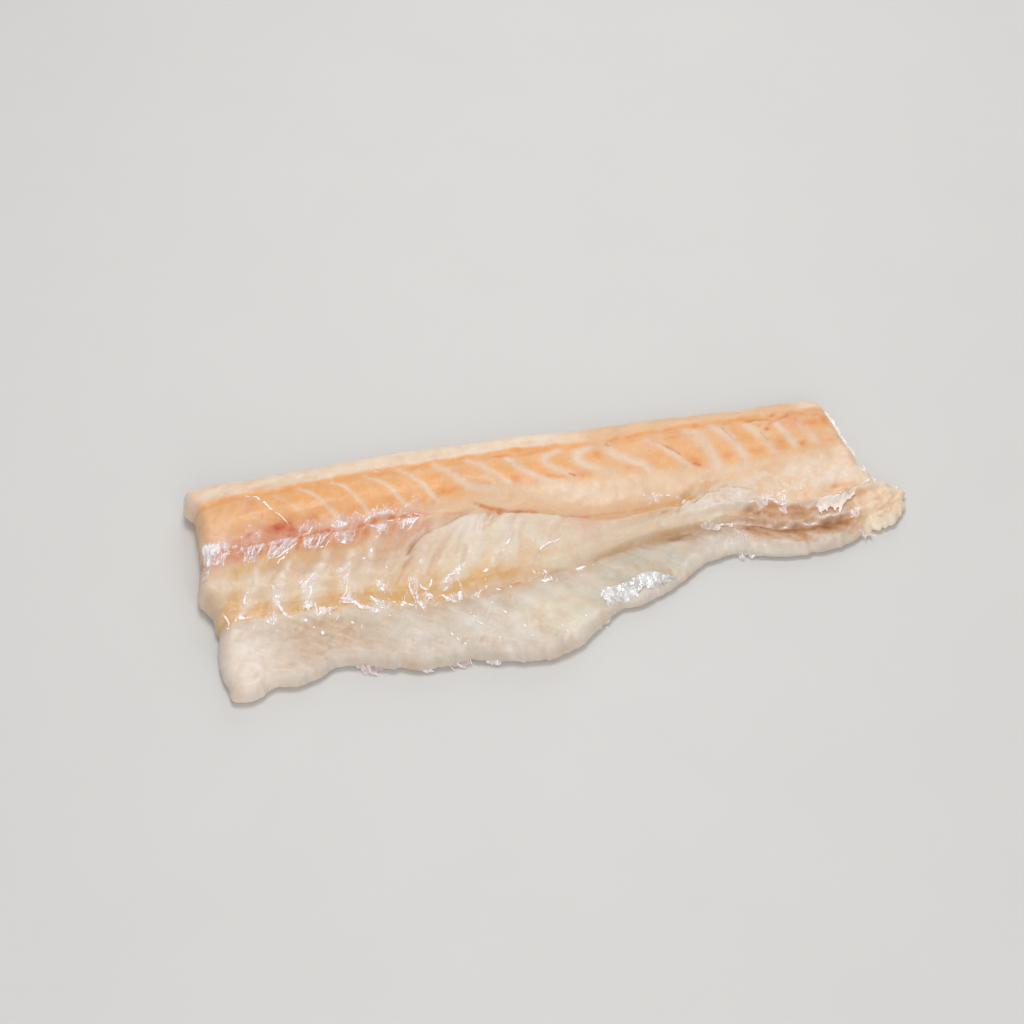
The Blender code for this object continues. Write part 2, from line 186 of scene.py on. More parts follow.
# The flap's pale stripes: from one to the next, where the first one starts, and how much further
# along they lie for each millimetre down from the crease.
FLAP_PITCH, FLAP_FIRST, FLAP_SWEEP = 13.3, 20, 0.75
LOBE_FIBRES, FLAP_FIBRES = 50, -36  # how far the fibres are turned from the length, in degrees
SEAM_DEPTH = 1.1
SEAM_END = 112  # along: the bone seam fades out here
FURROW_DEPTH = 0.7
CRAG_HEIGHT = 0.4
TORN_FROM = 200  # along: from here to the tail the flesh is torn and ragged
EDGE_WANDER = 0.35  # how far the torn outline strays from its smooth line
FRAY = 0.3  # and how deep its finer notches are
TORN_SHIFT = 1.1  # how far the torn flesh strays from its guide lines
LIP_HEIGHT = 1.5  # the lobes' upper edge stands this much above the recess beyond it
LIP_FROM, LIP_TO = 78, 170  # along: where that lip shows
FLAKE_HEIGHT = 1.8  # of the torn flake above the fold near the tail
SCALLOP_HEIGHT = 0.9
FIBRE_HEIGHT = 0.06

# Lower limit of the orange muscle, (along, across)
MUSCLE_FOOT = [(0, 77), (45, 76.5), (94, 74), (110, 74), (135, 71.5), (160, 68.5), (185, 66.5),
               (205, 65.5), (230, 63.5), (262, 64)]

# The pale septa of the loin: (strength, half width, points)
LOIN_SEPTA = [
    (0.5, 1, [(25, 91), (28, 86), (32, 80.5)]), (0.35, 1.1, [(39, 91), (43, 86), (47, 80)]),
    (0.8, 0.9, [(49, 92), (52.5, 88), (55.5, 83), (60, 76)]),
    (0.8, 0.9, [(62, 91.5), (65.5, 88), (68.5, 82), (72, 75)]),
    (0.9, 1, [(75, 91), (79, 87), (83, 81), (86.5, 74)]),
    (0.8, 1.1, [(88, 91), (91, 88), (93, 84), (96, 78), (99, 73)]),
    (0.75, 1.5, [(102, 90), (105, 86), (108, 81), (112, 76.5), (118, 74.5), (126, 72)]),
    (0.75, 1.4, [(115, 89), (119, 86), (120.5, 82), (123, 78.5), (126, 75), (129, 71.5)]),
    (0.85, 1.5, [(130, 86), (131.5, 83), (133, 79.5), (136, 76), (139, 73), (144, 70)]),
    (0.85, 1.6, [(151, 85.5), (145, 83.5), (143.5, 80), (145.5, 77), (149, 74.5), (152, 72)]),
    (0.9, 2, [(164, 85), (158, 83), (156, 79), (158, 75), (163, 72), (168, 69)]),
    (0.9, 2.2, [(170, 83.5), (170, 80), (172, 77), (176, 74), (180, 71), (182, 68)]),
    (0.7, 1.6, [(186, 83), (189, 79), (192, 75), (195, 70.5), (198, 66)]),
    (0.9, 2.3, [(203, 84), (206, 82), (207, 78), (208, 72), (209, 66)]),
    (0.9, 2, [(213, 84.5), (216, 80), (218, 76), (220, 70), (221, 66)]),
    (0.8, 1.8, [(227, 82), (230, 75), (232, 70), (233, 66)]),
    (0.8, 1.8, [(239, 79), (241, 73), (242, 67)]), (0.6, 1.6, [(248, 76), (250, 71), (251, 66)]),
]
# ---------------------------------------------------------------- curves
def smooth_curve(points):
    """A function through a few (station, value) points that never overshoots between two of them:
    cubic pieces whose slope at a point is the harmonic mean of the rates on its two sides."""
    station, value = np.array(points, float).T
    gap = np.diff(station)
    rate = np.diff(value) / gap
    product = rate[:-1] * rate[1:]
    slope = np.zeros(len(station))
    slope[0], slope[-1] = rate[0], rate[-1]
    slope[1:-1] = np.where(product > 0, 2 * product / (rate[:-1] + rate[1:] + 1e-12), 0)

    def at(x):
        x = np.clip(x, station[0], station[-1])
        i = np.clip(np.searchsorted(station, x, side="right") - 1, 0, len(gap) - 1)
        u = (x - station[i]) / gap[i]
        return hermite(value[i], value[i + 1], slope[i] * gap[i], slope[i + 1] * gap[i], u)

    return at


def hermite(start, end, leave, arrive, u):
    """Cubic from start to end, with those end slopes, at u from 0 to 1."""
    return (
        start * (1 - 3 * u**2 + 2 * u**3)
        + end * (3 * u**2 - 2 * u**3)
        + leave * (u - 2 * u**2 + u**3)
        + arrive * (u**3 - u**2)
    )


def bell(distance, half_width):
    """1 at no distance, falling away as exp(-(distance / half_width) squared)."""
    return np.exp(-((distance / half_width) ** 2))


def fade(low, high, x):
    """0 below low, 1 above high, smooth between; the other way round if low is above high."""
    u = np.clip((x - low) / (high - low), 0, 1)
    return u * u * (3 - 2 * u)


def within(x, start, full, fall, end):
    """1 between full and fall, fading out to 0 at start and end."""
    return fade(start, full, x) * fade(end, fall, x)


def uneven(x, y, size, seed):
    """Smooth irregular bumps of about that size: a sum of nine waves in seeded directions."""
    rng = np.random.default_rng(seed)
    total = 0
    for _ in range(9):
        turn, phase = rng.uniform(0, 2 * np.pi, 2)
        wave = 2 * np.pi / (size * rng.uniform(0.7, 1.9))
        total = total + np.sin(wave * (x * np.cos(turn) + y * np.sin(turn)) + phase)
    return total / 4


def eased(lattice, u, v):
    """The lattice's number at (u, v), eased between the four numbers round it."""
    i, j = np.floor(u).astype(int), np.floor(v).astype(int)
    a, b = u - i, v - j
    a, b = a * a * (3 - 2 * a), b * b * (3 - 2 * b)
    size = len(lattice)
    i, j, i1, j1 = i % size, j % size, (i + 1) % size, (j + 1) % size
    near = lattice[i, j] * (1 - a) + lattice[i1, j] * a
    far = lattice[i, j1] * (1 - a) + lattice[i1, j1] * a
    return near * (1 - b) + far * b


def grain(x, y, size, seed, octaves=3, turn=0, stretch=1):
    """Irregular bumps, about -1 to 1: seeded numbers on a lattice with cells of that size, eased
    between its corners, and half as much again on cells half the size for each further octave.
    Stretch draws them out into fibres, which lie turn degrees from the length of the fillet."""
    lattice = np.random.default_rng(seed).uniform(-1, 1, (64, 64))
    c, s = np.cos(np.radians(turn)), np.sin(np.radians(turn))
    u, v = (x * c + y * s) / (size * stretch), (y * c - x * s) / size
    return sum(0.5**k * eased(lattice, u * 2**k + 9.7 * k, v * 2**k + 4.3 * k)
               for k in range(octaves))


def between(low, high, share):
    """The line that lies that share of the way from one line to another."""
    return lambda x: low(x) + (high(x) - low(x)) * share


def raised(base, step):
    return lambda x: base(x) + step(x)


def shifted(line, distance):
    return lambda x: line(x) + distance


def leaning(line):
    """Top of a fold's face: its foot line, moved across by the width of the face."""
    return lambda x: line(x) + STEP_WIDTH + SOFT_STEP * fade(170, 120, x)


def wandering(line, size, seed, fray=FRAY, frayed=None):
    """The same line, torn a little to and fro in waves of about that size, with finer notches that
    are four times as deep where frayed, a (from, to) pair, has faded in."""

    def at(t):
        depth = fray * (1 + (3 * fade(*frayed, t) if frayed else 0))
        notches = depth * grain(t, 0 * t, 2.6, seed)
        return line(t) + EDGE_WANDER * uneven(t, 0 * t, size, seed) + notches

    return at


belly_edge = wandering(smooth_curve(BELLY_EDGE), 9, seed=1, fray=0.4, frayed=(252, 264))
back_edge = wandering(smooth_curve(BACK_EDGE), 32, seed=3, fray=0.04)
head_cut = wandering(smooth_curve(HEAD_CUT), 12, seed=4)
tail_cut = wandering(smooth_curve(TAIL_CUT), 7, seed=2, frayed=(56, 46))
flap_crease = smooth_curve(FLAP_CREASE)
fold_foot = smooth_curve(FOLD_FOOT)
lobe_edge = smooth_curve(LOBE_EDGE)
bone_seam = smooth_curve(BONE_SEAM)
back_furrow = smooth_curve(BACK_FURROW)
muscle_foot = smooth_curve(MUSCLE_FOOT)
crease_height = smooth_curve(CREASE_HEIGHT)
fold_height = smooth_curve(FOLD_HEIGHT)

# Each guide line from the belly to the back: across, height, and the solid's facets to the next.
GUIDE_LINES = [
    (belly_edge, smooth_curve(EDGE_HEIGHT), 0),
    (between(belly_edge, flap_crease, FLAP_CREST_SHARE), smooth_curve(FLAP_CREST), 3),
    (flap_crease, crease_height, 1),
    (leaning(flap_crease), raised(crease_height, smooth_curve(CREASE_STEP)), 2),
    (fold_foot, fold_height, 1),
    (shifted(fold_foot, STEP_WIDTH), raised(fold_height, smooth_curve(FOLD_STEP)), 3),
    (between(fold_foot, lobe_edge, CREST_SHARE), smooth_curve(LOBE_CREST), 3),
    (lobe_edge, smooth_curve(LOBE_EDGE_HEIGHT), 2),
    (bone_seam, smooth_curve(SEAM_HEIGHT), 5),
    (between(bone_seam, back_furrow, CREST_SHARE), smooth_curve(LOIN_CREST), 3),
    (back_furrow, smooth_curve(FURROW_HEIGHT), 2),
    (back_edge, smooth_curve(BACK_HEIGHT), 0),
]


# ---------------------------------------------------------------- the form of the flesh
def flesh_height(x, y):
    """Height of the cross-section at x: a smooth curve through the guide lines, read at y."""
    across = np.array([line[0](x) for line in GUIDE_LINES])
    height = np.array([line[1](x) for line in GUIDE_LINES])
    gap = np.diff(across, axis=0)
    rate = np.diff(height, axis=0) / gap
    product = rate[:-1] * rate[1:]
    slope = np.zeros_like(height)
    slope[1:-1] = np.where(product > 0, 2 * product / (rate[:-1] + rate[1:] + 1e-12), 0)
    below = np.clip((across[1:-1] < y).sum(axis=0), 0, len(gap) - 1)[None]

    def pick(values, i):
        return np.take_along_axis(values, i, axis=0)[0]

    reach = pick(gap, below)
    u = np.clip((y - pick(across, below)) / reach, 0, 1)
    return hermite(
        pick(height, below),
        pick(height, below + 1),
        pick(slope, below) * reach,
        pick(slope, below + 1) * reach,
        u,
    )


def septum_phase(x, reach, first, pitch, sweep):
    """Blocks of muscle one pitch apart that slant as they run down from a line: whole numbers lie
    on the septa between them. reach is the way down from the line."""
    return (x - first - sweep * reach) / pitch


def off_septum(phase, pitch):
    """Distance from the nearest septum."""
    return np.abs(phase - np.round(phase)) * pitch


def to_polyline(x, y, points):
    """Distance from (x, y) to the nearest of the straight stretches between the points."""
    nearest = np.full(np.shape(x), np.inf)
    for (x0, y0), (x1, y1) in zip(points, points[1:]):
        run_x, run_y = x1 - x0, y1 - y0
        share = ((x - x0) * run_x + (y - y0) * run_y) / (run_x**2 + run_y**2)
        share = np.clip(share, 0, 1)
        nearest = np.minimum(nearest, np.hypot(x - x0 - share * run_x, y - y0 - share * run_y))
    return nearest


def strokes(x, y, table):
    """The strongest of some lines there: each row is (strength, half width, points), and its line
    falls off to its two sides as a bell."""
    total = np.zeros(np.shape(x))
    for strength, half_width, points in table:
        total = np.maximum(total, strength * bell(to_polyline(x, y, points), half_width))
    return total


def torn_place(x, y):
    """Where torn flesh belongs on the smooth form: the place, strayed by seeded bumps."""
    torn = fade(178, 196, x) * fade(62, 54, y) * TORN_SHIFT
    return x + torn * grain(x, y, 4.5, seed=21), y + torn * grain(x, y, 4.5, seed=22)


def crumbly_fold(x, y):
    """1 on the torn flake above the fold near the tail, whose upper edge runs in points: a row of
    seeded teeth on a line that rises and falls once."""
    teeth = 47.5 + 5 * bell(x - 204, 12) + 1.6 * grain(x, 0 * x, 3.4, seed=23, octaves=2)
    flake = within(y, fold_foot(x) - 1, fold_foot(x) + 1, teeth - 0.5, teeth + 0.5)
    return within(x, 184, 192, 212, 222) * flake


def lobe_relief(x, y):
    """The soft lobes overlap like petals: each crease sinks and the edge beside it rises. Pale
    fibres stand up a little, and a lip stands over the recess beyond the lobes."""
    crease, lobe = flap_crease(x), lobe_edge(x)
    on_lobes = within(y, crease + 1, crease + 5, lobe - 4, lobe + 3) * fade(205, 175, x)
    wavy_x, wavy_y = x + 1.2 * grain(x, y, 6, seed=11), y + 0.6 * grain(x, y, 6, seed=17)
    lip = bell(lobe - y - 1, 4) * fade(-0.3, 1, lobe - y) * (1 - 0.6 * bell(x - 100, 7))
    return (
        0.8 * strokes(wavy_x + PETAL_LEAN[0], wavy_y + PETAL_LEAN[1], LOBE_CREASES)
        - strokes(wavy_x, wavy_y, LOBE_CREASES)
        + 0.2 * strokes(wavy_x, wavy_y, PALE_STREAKS)
        + 0.3 * on_lobes * grain(x, y, 8, seed=12, turn=LOBE_FIBRES, stretch=2)
        + LIP_HEIGHT * lip * within(x, LIP_FROM, LIP_FROM + 8, LIP_TO - 40, LIP_TO)
    )


def loin_relief(x, y):
    """The septa, the bone seam and the furrow are grooves, and the strip along the back is bumpy."""
    seam, furrow = bone_seam(x), back_furrow(x)
    return (
        0.25 * fade(furrow + 4, furrow + 8, y) * grain(x, y, 11, seed=19, octaves=2)
        - LOIN_GROOVE * strokes(x, y, LOIN_SEPTA)
        - SEAM_DEPTH * bell(y - seam, 1.4) * fade(SEAM_END, SEAM_END - 20, x)
        - FURROW_DEPTH * bell(y - furrow, 1.6)
    )


def torn_relief(x, y):
    """Crags and grain, rougher towards the ragged tail, the torn flake, and the scalloped edge."""
    torn = fade(TORN_FROM - 10, TORN_FROM + 20, x) * fade(60, 48, y)
    scallops = bell(y - belly_edge(x) - 2.5, 3) * fade(50, 110, x)
    return (
        CRAG_HEIGHT * (0.35 + 0.4 * torn) * uneven(x, y, 7, seed=5)
        + 0.7 * torn * fade(255, 264, x) * grain(x, y, 4, seed=13)
        + crumbly_fold(x, y) * (FLAKE_HEIGHT + 0.9 * grain(x, y, 3, seed=18))
        + SCALLOP_HEIGHT * scallops * grain(x, y, 3.6, seed=20, octaves=2)
        + (0.1 + 0.25 * torn) * grain(x, y, 2.6, seed=16, octaves=3)
    )


def fibre_relief(x, y):
    """Fine fibres, which slant one way below the bone seam and the other way on the flap."""
    seam, crease = bone_seam(x), flap_crease(x)
    below_seam = within(y, crease, crease + 3, seam - 3, seam) * fade(160, 110, x)
    lobe_fibres = grain(x, y, 1.3, seed=14, octaves=2, turn=LOBE_FIBRES, stretch=7)
    flap_fibres = grain(x, y, 1.4, seed=15, octaves=2, turn=FLAP_FIBRES, stretch=7)
    return FIBRE_HEIGHT * (below_seam * lobe_fibres + fade(crease, crease - 3, y) * flap_fibres)


def rim_places(radius):
    """Distances in from the edge of the rows across a rounded rim, evenly spaced round its arc."""
    return radius * (1 - np.cos(np.linspace(0, np.pi / 2, RIM_STEPS + 1)))


def row_lines():
    """Each lengthwise row of facet corners, as a function of along: the two rims and the guides."""
    rows = [shifted(belly_edge, d) for d in rim_places(RIM_BELLY)]
    flap = rows[-1], GUIDE_LINES[1][0]
    rows += [between(*flap, k / FLAP_ROWS) for k in range(1, FLAP_ROWS)]
    inner = [line[0] for line in GUIDE_LINES[1:-1]] + [shifted(back_edge, -RIM_BACK)]
    for line, (low, high) in zip(GUIDE_LINES[1:-1], zip(inner, inner[1:])):
        count = round(line[2] * FINER)
        rows += [between(low, high, k / count) for k in range(count)]
    return rows + [shifted(back_edge, -d) for d in rim_places(RIM_BACK)[::-1]]


def column_places(y):
    """Along, for each column of facet corners: both rounded ends, and even steps between them."""
    head, tail = head_cut(y[:, :1]), tail_cut(y[:, -1:])
    share = np.linspace(0, 1, COLUMNS + 1)[1:-1]
    middle = head + RIM_HEAD + (tail - RIM_TAIL - head - RIM_HEAD) * share
    return np.hstack([head + rim_places(RIM_HEAD), middle, tail - rim_places(RIM_TAIL)[::-1]])


def rim_share(low_side, high_side, low_radius, high_radius):
    """1 on the outline, falling to 0 a radius in from it, and the direction back inwards."""
    low = np.clip(1 - low_side / low_radius, 0, 1)
    high = np.clip(1 - high_side / high_radius, 0, 1)
    return low + high, low * low_radius - high * high_radius


def fillet_grid():
    """Along and across of every facet corner, and its rim factor: 0 on the outline, 1 inside."""
    rows = row_lines()
    x = np.tile(np.linspace(0, ROUGH_LENGTH, COLUMNS + 2 * RIM_STEPS + 1), (len(rows), 1))
    for _ in range(ROUNDS):
        y = np.array([line(x[j]) for j, line in enumerate(rows)])
        x = column_places(y)
    y = np.array([line(x[j]) for j, line in enumerate(rows)])
    end, end_way = rim_share(x - x[:, :1], x[:, -1:] - x, RIM_HEAD, RIM_TAIL)
    side, side_way = rim_share(y - belly_edge(x), back_edge(x) - y, RIM_BELLY, RIM_BACK)
    x = x + end_way * (1 - np.sqrt(1 - CORNER_ROUND * side**2))
    y = y + side_way * (1 - np.sqrt(1 - CORNER_ROUND * end**2))
    return x, y, np.sqrt((1 - end**2) * (1 - side**2))


def foot_height(y):
    """How high the rim is widest: low at the belly side, higher at the back."""
    return FOOT_BELLY + (FOOT_BACK - FOOT_BELLY) * fade(40, 90, y)


def upper_face(x, y, rim):
    """Height of the upper face: the smooth form and its relief, come down to the foot at the rim."""
    foot = foot_height(y)
    form = flesh_height(*torn_place(x, y))
    form += lobe_relief(x, y) + loin_relief(x, y) + torn_relief(x, y) + fibre_relief(x, y)
    return foot + (form - foot) * rim


def surface_height(x, y):
    """Height of the finished upper face anywhere, rims and all, for what lies on it."""
    end, _ = rim_share(x - head_cut(y), tail_cut(y) - x, RIM_HEAD, RIM_TAIL)
    side, _ = rim_share(y - belly_edge(x), back_edge(x) - y, RIM_BELLY, RIM_BACK)
    return upper_face(x, y, np.sqrt(np.clip(1 - end**2, 0, 1) * np.clip(1 - side**2, 0, 1)))


# ---------------------------------------------------------------- tints, as masks over the flesh
def srgb(red, green, blue):
    """A colour named by its display values, 0 to 255, as the linear colour that shaders take."""
    c = np.array([red, green, blue]) / 255
    linear = np.where(c <= 0.04045, c / 12.92, ((c + 0.055) / 1.055) ** 2.4)
    return (*linear.tolist(), 1.0)


# Patches of one tint: (along, across, half length, half width, turn, strength)
EMBER_PATCHES = [
    (251.6, 44.6, 4, 1, 10, 0.45), (246, 42.6, 3, 0.7, -10, 0.3), (258, 43, 2, 0.8, 10, 0.3),
    (228, 83.6, 2, 1, 20, 0.7), (236, 82.4, 2.4, 1, -30, 0.7), (239, 84.6, 2, 0.8, 20, 0.7),
    (247, 80.4, 1.6, 1, 40, 0.6), (251, 83.4, 2, 1, -20, 0.7), (258.4, 77, 1.6, 2.4, 0, 0.7),
    (232, 80, 1.2, 0.8, 30, 0.7), (255.6, 81, 2, 1, 30, 0.6), (249, 76, 1.6, 1.2, 40, 0.6),
    (219.6, 84.8, 2, 0.8, 0, 0.4), (212, 85, 2, 0.7, 20, 0.4), (188.6, 79.6, 2.4, 1, 40, 0.3),
    (201, 68.6, 2.4, 1.6, -20, 0.4), (238.4, 69.6, 1.4, 1.2, 0, 0.4), (256.6, 66.6, 2, 1, 0, 0.4),
    (18, 96.3, 5, 1.4, 0, 0.3), (34, 97, 5, 1.4, 0, 0.3), (45, 93.6, 6, 1.2, 2, 0.55),
    (57, 93.2, 5, 1, 3, 0.35), (70, 92.6, 5, 0.9, 3, 0.4), (83, 92.6, 5, 0.8, 5, 0.4),
    (95, 91, 4, 0.9, 5, 0.35), (104, 91.8, 5, 0.7, 5, 0.3), (115, 90.8, 6, 0.9, 0, 0.5),
    (128, 88.4, 4, 0.8, -10, 0.6), (136, 89.6, 4, 1, 0, 0.45), (141, 92.6, 3, 0.8, 0, 0.25),
    (148, 88, 5, 1, 10, 0.35), (139, 86.4, 4, 1.2, 10, 0.35), (163, 86.4, 6, 0.9, 5, 0.4),
    (174, 87, 4, 0.9, 20, 0.6), (181, 86.8, 4, 0.8, 0, 0.4), (192, 86.5, 6, 0.7, 0, 0.35),
    (207, 86.2, 4, 1, -10, 0.5), (202, 83.6, 4, 1, 20, 0.35), (230, 84.2, 4, 1.2, -8, 0.6),
    (224, 85.6, 4, 0.6, 0, 0.3), (243.5, 83, 4.5, 1.4, 20, 0.55), (254, 77.2, 4.5, 1.8, 10, 0.6),
    (236.6, 67.3, 3, 1.5, 0, 0.55), (226.4, 67.3, 3.4, 1.4, 0, 0.5), (245.4, 67.3, 1.5, 1.4, 0, 0.8),
    (200.6, 67.2, 3.6, 2, -30, 0.5), (213.6, 67.8, 4, 1.4, 0, 0.35), (234.3, 77.6, 1, 0.8, 0, 0.8),
    (253, 70, 1.5, 2.4, 20, 0.3), (130, 75.2, 4, 1.2, -8, 0.6), (131, 73.4, 3, 0.8, -30, 0.4),
    (118, 76, 4.5, 0.6, -5, 0.45), (143, 73, 4.5, 1.1, -20, 0.5), (148, 71.6, 2.5, 0.8, -20, 0.45),
    (156, 70.6, 3.5, 1.4, -15, 0.55), (165, 79.5, 2, 2, 40, 0.65), (174.6, 70.2, 2.2, 1.2, 0, 0.45),
    (103, 76.4, 5, 1.1, 5, 0.35), (98, 74, 4, 1, 30, 0.35), (83, 78, 4, 1.6, 20, 0.2),
    (70, 78, 4, 1.4, 20, 0.2), (53, 79, 4, 1.4, 20, 0.2), (241.6, 96.3, 1.6, 0.9, 0, 0.6),
    (19, 103.6, 2.6, 0.7, 20, 0.3), (53, 104.6, 2, 1.2, 0, 0.3), (241, 87, 2.4, 1, 0, 0.3),
    (187, 81.6, 2.2, 1, 30, 0.3), (196, 81.4, 2.2, 0.8, 0, 0.3), (230, 81.2, 2, 0.7, 0, 0.3),
    (248, 86, 2, 1.6, 40, 0.25), (258, 80, 1.4, 2, 0, 0.3), (21, 90, 4, 2, 40, 0.15),
]
ORANGE_PATCHES = [
    (100, 82, 3, 5, 20, 0.35), (113, 83, 4, 4.5, 20, 0.3), (125, 82, 3, 5, 20, 0.55),
    (129, 77, 3.6, 2, -20, 0.4), (137.5, 81, 3.2, 5.5, 20, 0.6), (141, 75.5, 3.6, 2.6, -30, 0.5),
    (149, 80.5, 4, 5.5, 0, 0.6), (153, 73.6, 3.6, 3, -30, 0.45), (163, 79.4, 3.6, 4, 40, 0.5),
    (167, 73.5, 4, 3.5, -30, 0.4), (172.5, 78, 2.6, 4, 0, 0.2), (180, 83, 6, 2, 0, 0.45),
    (186, 74, 4.6, 6, 0, 0.55), (196, 79.6, 4.6, 5, -30, 0.6), (200, 70.5, 3.6, 4, -30, 0.55),
    (211.5, 79, 2.6, 6.5, 0, 0.5), (214, 70.4, 4, 4.5, 0, 0.5), (223.6, 77, 3, 7, 0, 0.55),
    (227, 70, 4, 4.5, 0, 0.5), (236, 75.4, 2.4, 5.5, 0, 0.45), (237, 68.4, 3, 2.4, 0, 0.5),
    (245.6, 72, 1.8, 5, 0, 0.3), (253, 77, 5, 3, 0, 0.5), (252, 82, 4, 2, 0, 0.4),
    (243, 82, 5, 3, 0, 0.4), (230, 84, 5, 2, 0, 0.4), (254, 42.6, 6, 2, 5, 0.45),
    (238, 43, 7, 1.5, -5, 0.3), (272, 35, 4, 4, 0, 0.4), (264, 38, 5, 4, 0, 0.4),
    (20, 42, 8, 2, 0, 0.3), (68, 66, 6, 2, -5, 0.5), (54, 64.6, 5, 2, 20, 0.45),
    (43, 66, 3, 2.4, 50, 0.35), (79, 67.4, 5, 1.3, 0, 0.35), (29, 65.8, 4, 1.5, 40, 0.35),
    (33, 68.5, 3, 1.8, 50, 0.3), (63, 68.6, 4, 1.4, 0, 0.2), (250, 93, 4, 2, 40, 0.2),
]
# Amber: the thin patches at (118 to 138, 31 to 33) lie in the crease, and those at (113.6, 58.6) and
# (119, 62) beside a petal's edge; these are painted shade.
AMBER_PATCHES = [
    (13, 47.5, 5, 3, 30, 0.8), (22.6, 42.6, 4, 4, 0, 0.75),
    (14, 41, 4, 1.2, 0, 0.4), (16, 55, 3, 6, -35, 0.3), (20, 61, 3, 5, -40, 0.3),
    (35, 43, 3.4, 6, -30, 0.65), (27.6, 58, 3, 6, -35, 0.25), (37, 55, 3, 6, -35, 0.35),
    (50.5, 41, 3.4, 4.4, -30, 0.6), (50, 37.5, 4, 1.4, -10, 0.6), (49, 49, 3, 5, -35, 0.35),
    (63.5, 38, 4, 4, -30, 0.45), (60, 35, 4, 2, -20, 0.4), (64, 46, 3, 5, -35, 0.25),
    (75, 38, 4, 5, -25, 0.45), (77, 47, 3, 5, -35, 0.3), (88.5, 41, 3.4, 6, -25, 0.45),
    (87, 34, 3, 3, 0, 0.3), (104, 37, 4.5, 4.6, -25, 0.5), (110, 43, 3, 6, -32, 0.35),
    (123.4, 43, 2.6, 6, -35, 0.35), (134, 40, 5, 2.6, 0, 0.3), (97.4, 47, 2.4, 6, -32, 0.3),
    (118, 36, 6, 4, 0, 0.4), (127, 38, 3.4, 6, -30, 0.4), (118, 30.8, 3.5, 0.9, 0, 0.9),
    (128, 33, 6, 0.9, 0, 0.5), (138, 32, 5, 0.8, 0, 0.4), (137, 52, 5, 8, 30, 0.2),
    (160, 50.6, 8, 2.4, -5, 0.65), (174, 50.4, 8, 2.2, 0, 0.8), (188, 51.6, 7, 2.2, 8, 0.8),
    (195, 53, 2.4, 1.4, 0, 0.7), (202, 56, 5, 2.4, 0, 0.35), (228, 52, 10, 3.5, -5, 0.2),
    (250, 44.5, 12, 2, 0, 0.3), (136, 20, 3.5, 2.6, 0, 0.3), (147, 29.6, 3, 1.6, 0, 0.35),
    (163, 27.6, 8, 1.4, 10, 0.3), (174, 24.6, 4, 0.8, -18, 0.5), (122, 13, 6, 3.4, 0, 0.2),
    (221, 42.6, 6, 0.8, 0, 0.5), (234, 45, 4, 2, 0, 0.3), (119, 62, 2, 2.4, -30, 0.4),
    (113.6, 58.6, 1.2, 4, -16, 0.6), (268, 34, 6, 1.2, 25, 0.2), (262, 41, 6, 1.4, 0, 0.2),
]
BLOOD_PATCHES = [
    (38.6, 76.8, 6, 2.4, -10, 0.75), (35.6, 75.4, 5, 1.8, 20, 0.35), (26, 76.4, 1.4, 0.6, 30, 0.6),
    (42, 74.6, 2, 1, 0, 0.5), (22, 76, 4, 2.4, 20, 0.2), (9, 66, 3, 5, 0, 0.15),
    (50, 77, 3, 1.4, 0, 0.3),
]
# Mostly painted shade: under the lobe roll, in the trough and folds near the tail, at a lobe's contour
# and in the crease.
BROWN_PATCHES = [
    (183, 38.2, 3.4, 1.4, -10, 0.7), (176, 38, 8, 1.4, 5, 0.3), (190, 38, 6, 2, -10, 0.35),
    (200, 37, 6, 1.6, 0, 0.25), (216, 41.8, 4.5, 1.2, 0, 0.6), (236, 37.4, 7, 1.4, -5, 0.4),
    (84, 56.4, 3.4, 1.1, 50, 0.35), (117, 31, 3, 0.7, 0, 0.4), (134, 32.4, 5, 0.6, 5, 0.3),
    (222, 39.6, 5, 1.8, -20, 0.35), (232, 36, 6, 2, 0, 0.25), (53, 104.4, 1.6, 0.8, 0, 0.35),
    (165, 98.4, 4, 1, 0, 0.3),
]
VEIL_PATCHES = [
    (6, 57, 5, 5, 0, 0.6), (12, 57, 4, 3, 60, 0.3), (107.5, 60, 5.5, 3.4, 62, 0.8),
    (121.6, 60, 4.6, 3, 50, 0.8), (94, 60, 3.4, 2.4, 40, 0.35), (68.6, 57, 2.2, 1.2, 60, 0.5),
    (86, 48, 2, 1, 60, 0.4), (64, 49, 2.6, 1, 70, 0.3), (106, 45, 3, 1.4, 60, 0.3),
    (134, 56, 4, 2.4, 50, 0.3), (152, 46, 12, 2, 8, 0.25), (230, 52, 14, 4, 0, 0.25),
    (244, 58, 10, 4, 0, 0.25), (150, 64, 12, 2.4, -18, 0.25),
]
STRAW_PATCHES = [
    (134, 7, 9, 7, 0, 0.6), (130, 18, 12, 6, 0, 0.4), (118, 16, 10, 6, 0, 0.25),
    (93, 60, 5, 3, 30, 0.3), (102, 52, 8, 5, 40, 0.3), (88, 49, 5, 4, 40, 0.3),
    (42, 60, 5, 2.6, 40, 0.3),
]
PINK_PATCHES = [
    (150, 49, 5, 6, 0, 0.3), (244, 79, 7, 3, 0, 0.4), (219, 79, 3, 4, 0, 0.25),
    (27, 91, 5, 2, -20, 0.35), (188, 82, 4, 2, 20, 0.3), (28, 86, 5, 1.5, 0, 0.15),
    (95, 50, 5, 3, 30, 0.1), (34, 55, 3, 3, 50, 0.12), (82, 60, 10, 3, 20, 0.12),
]
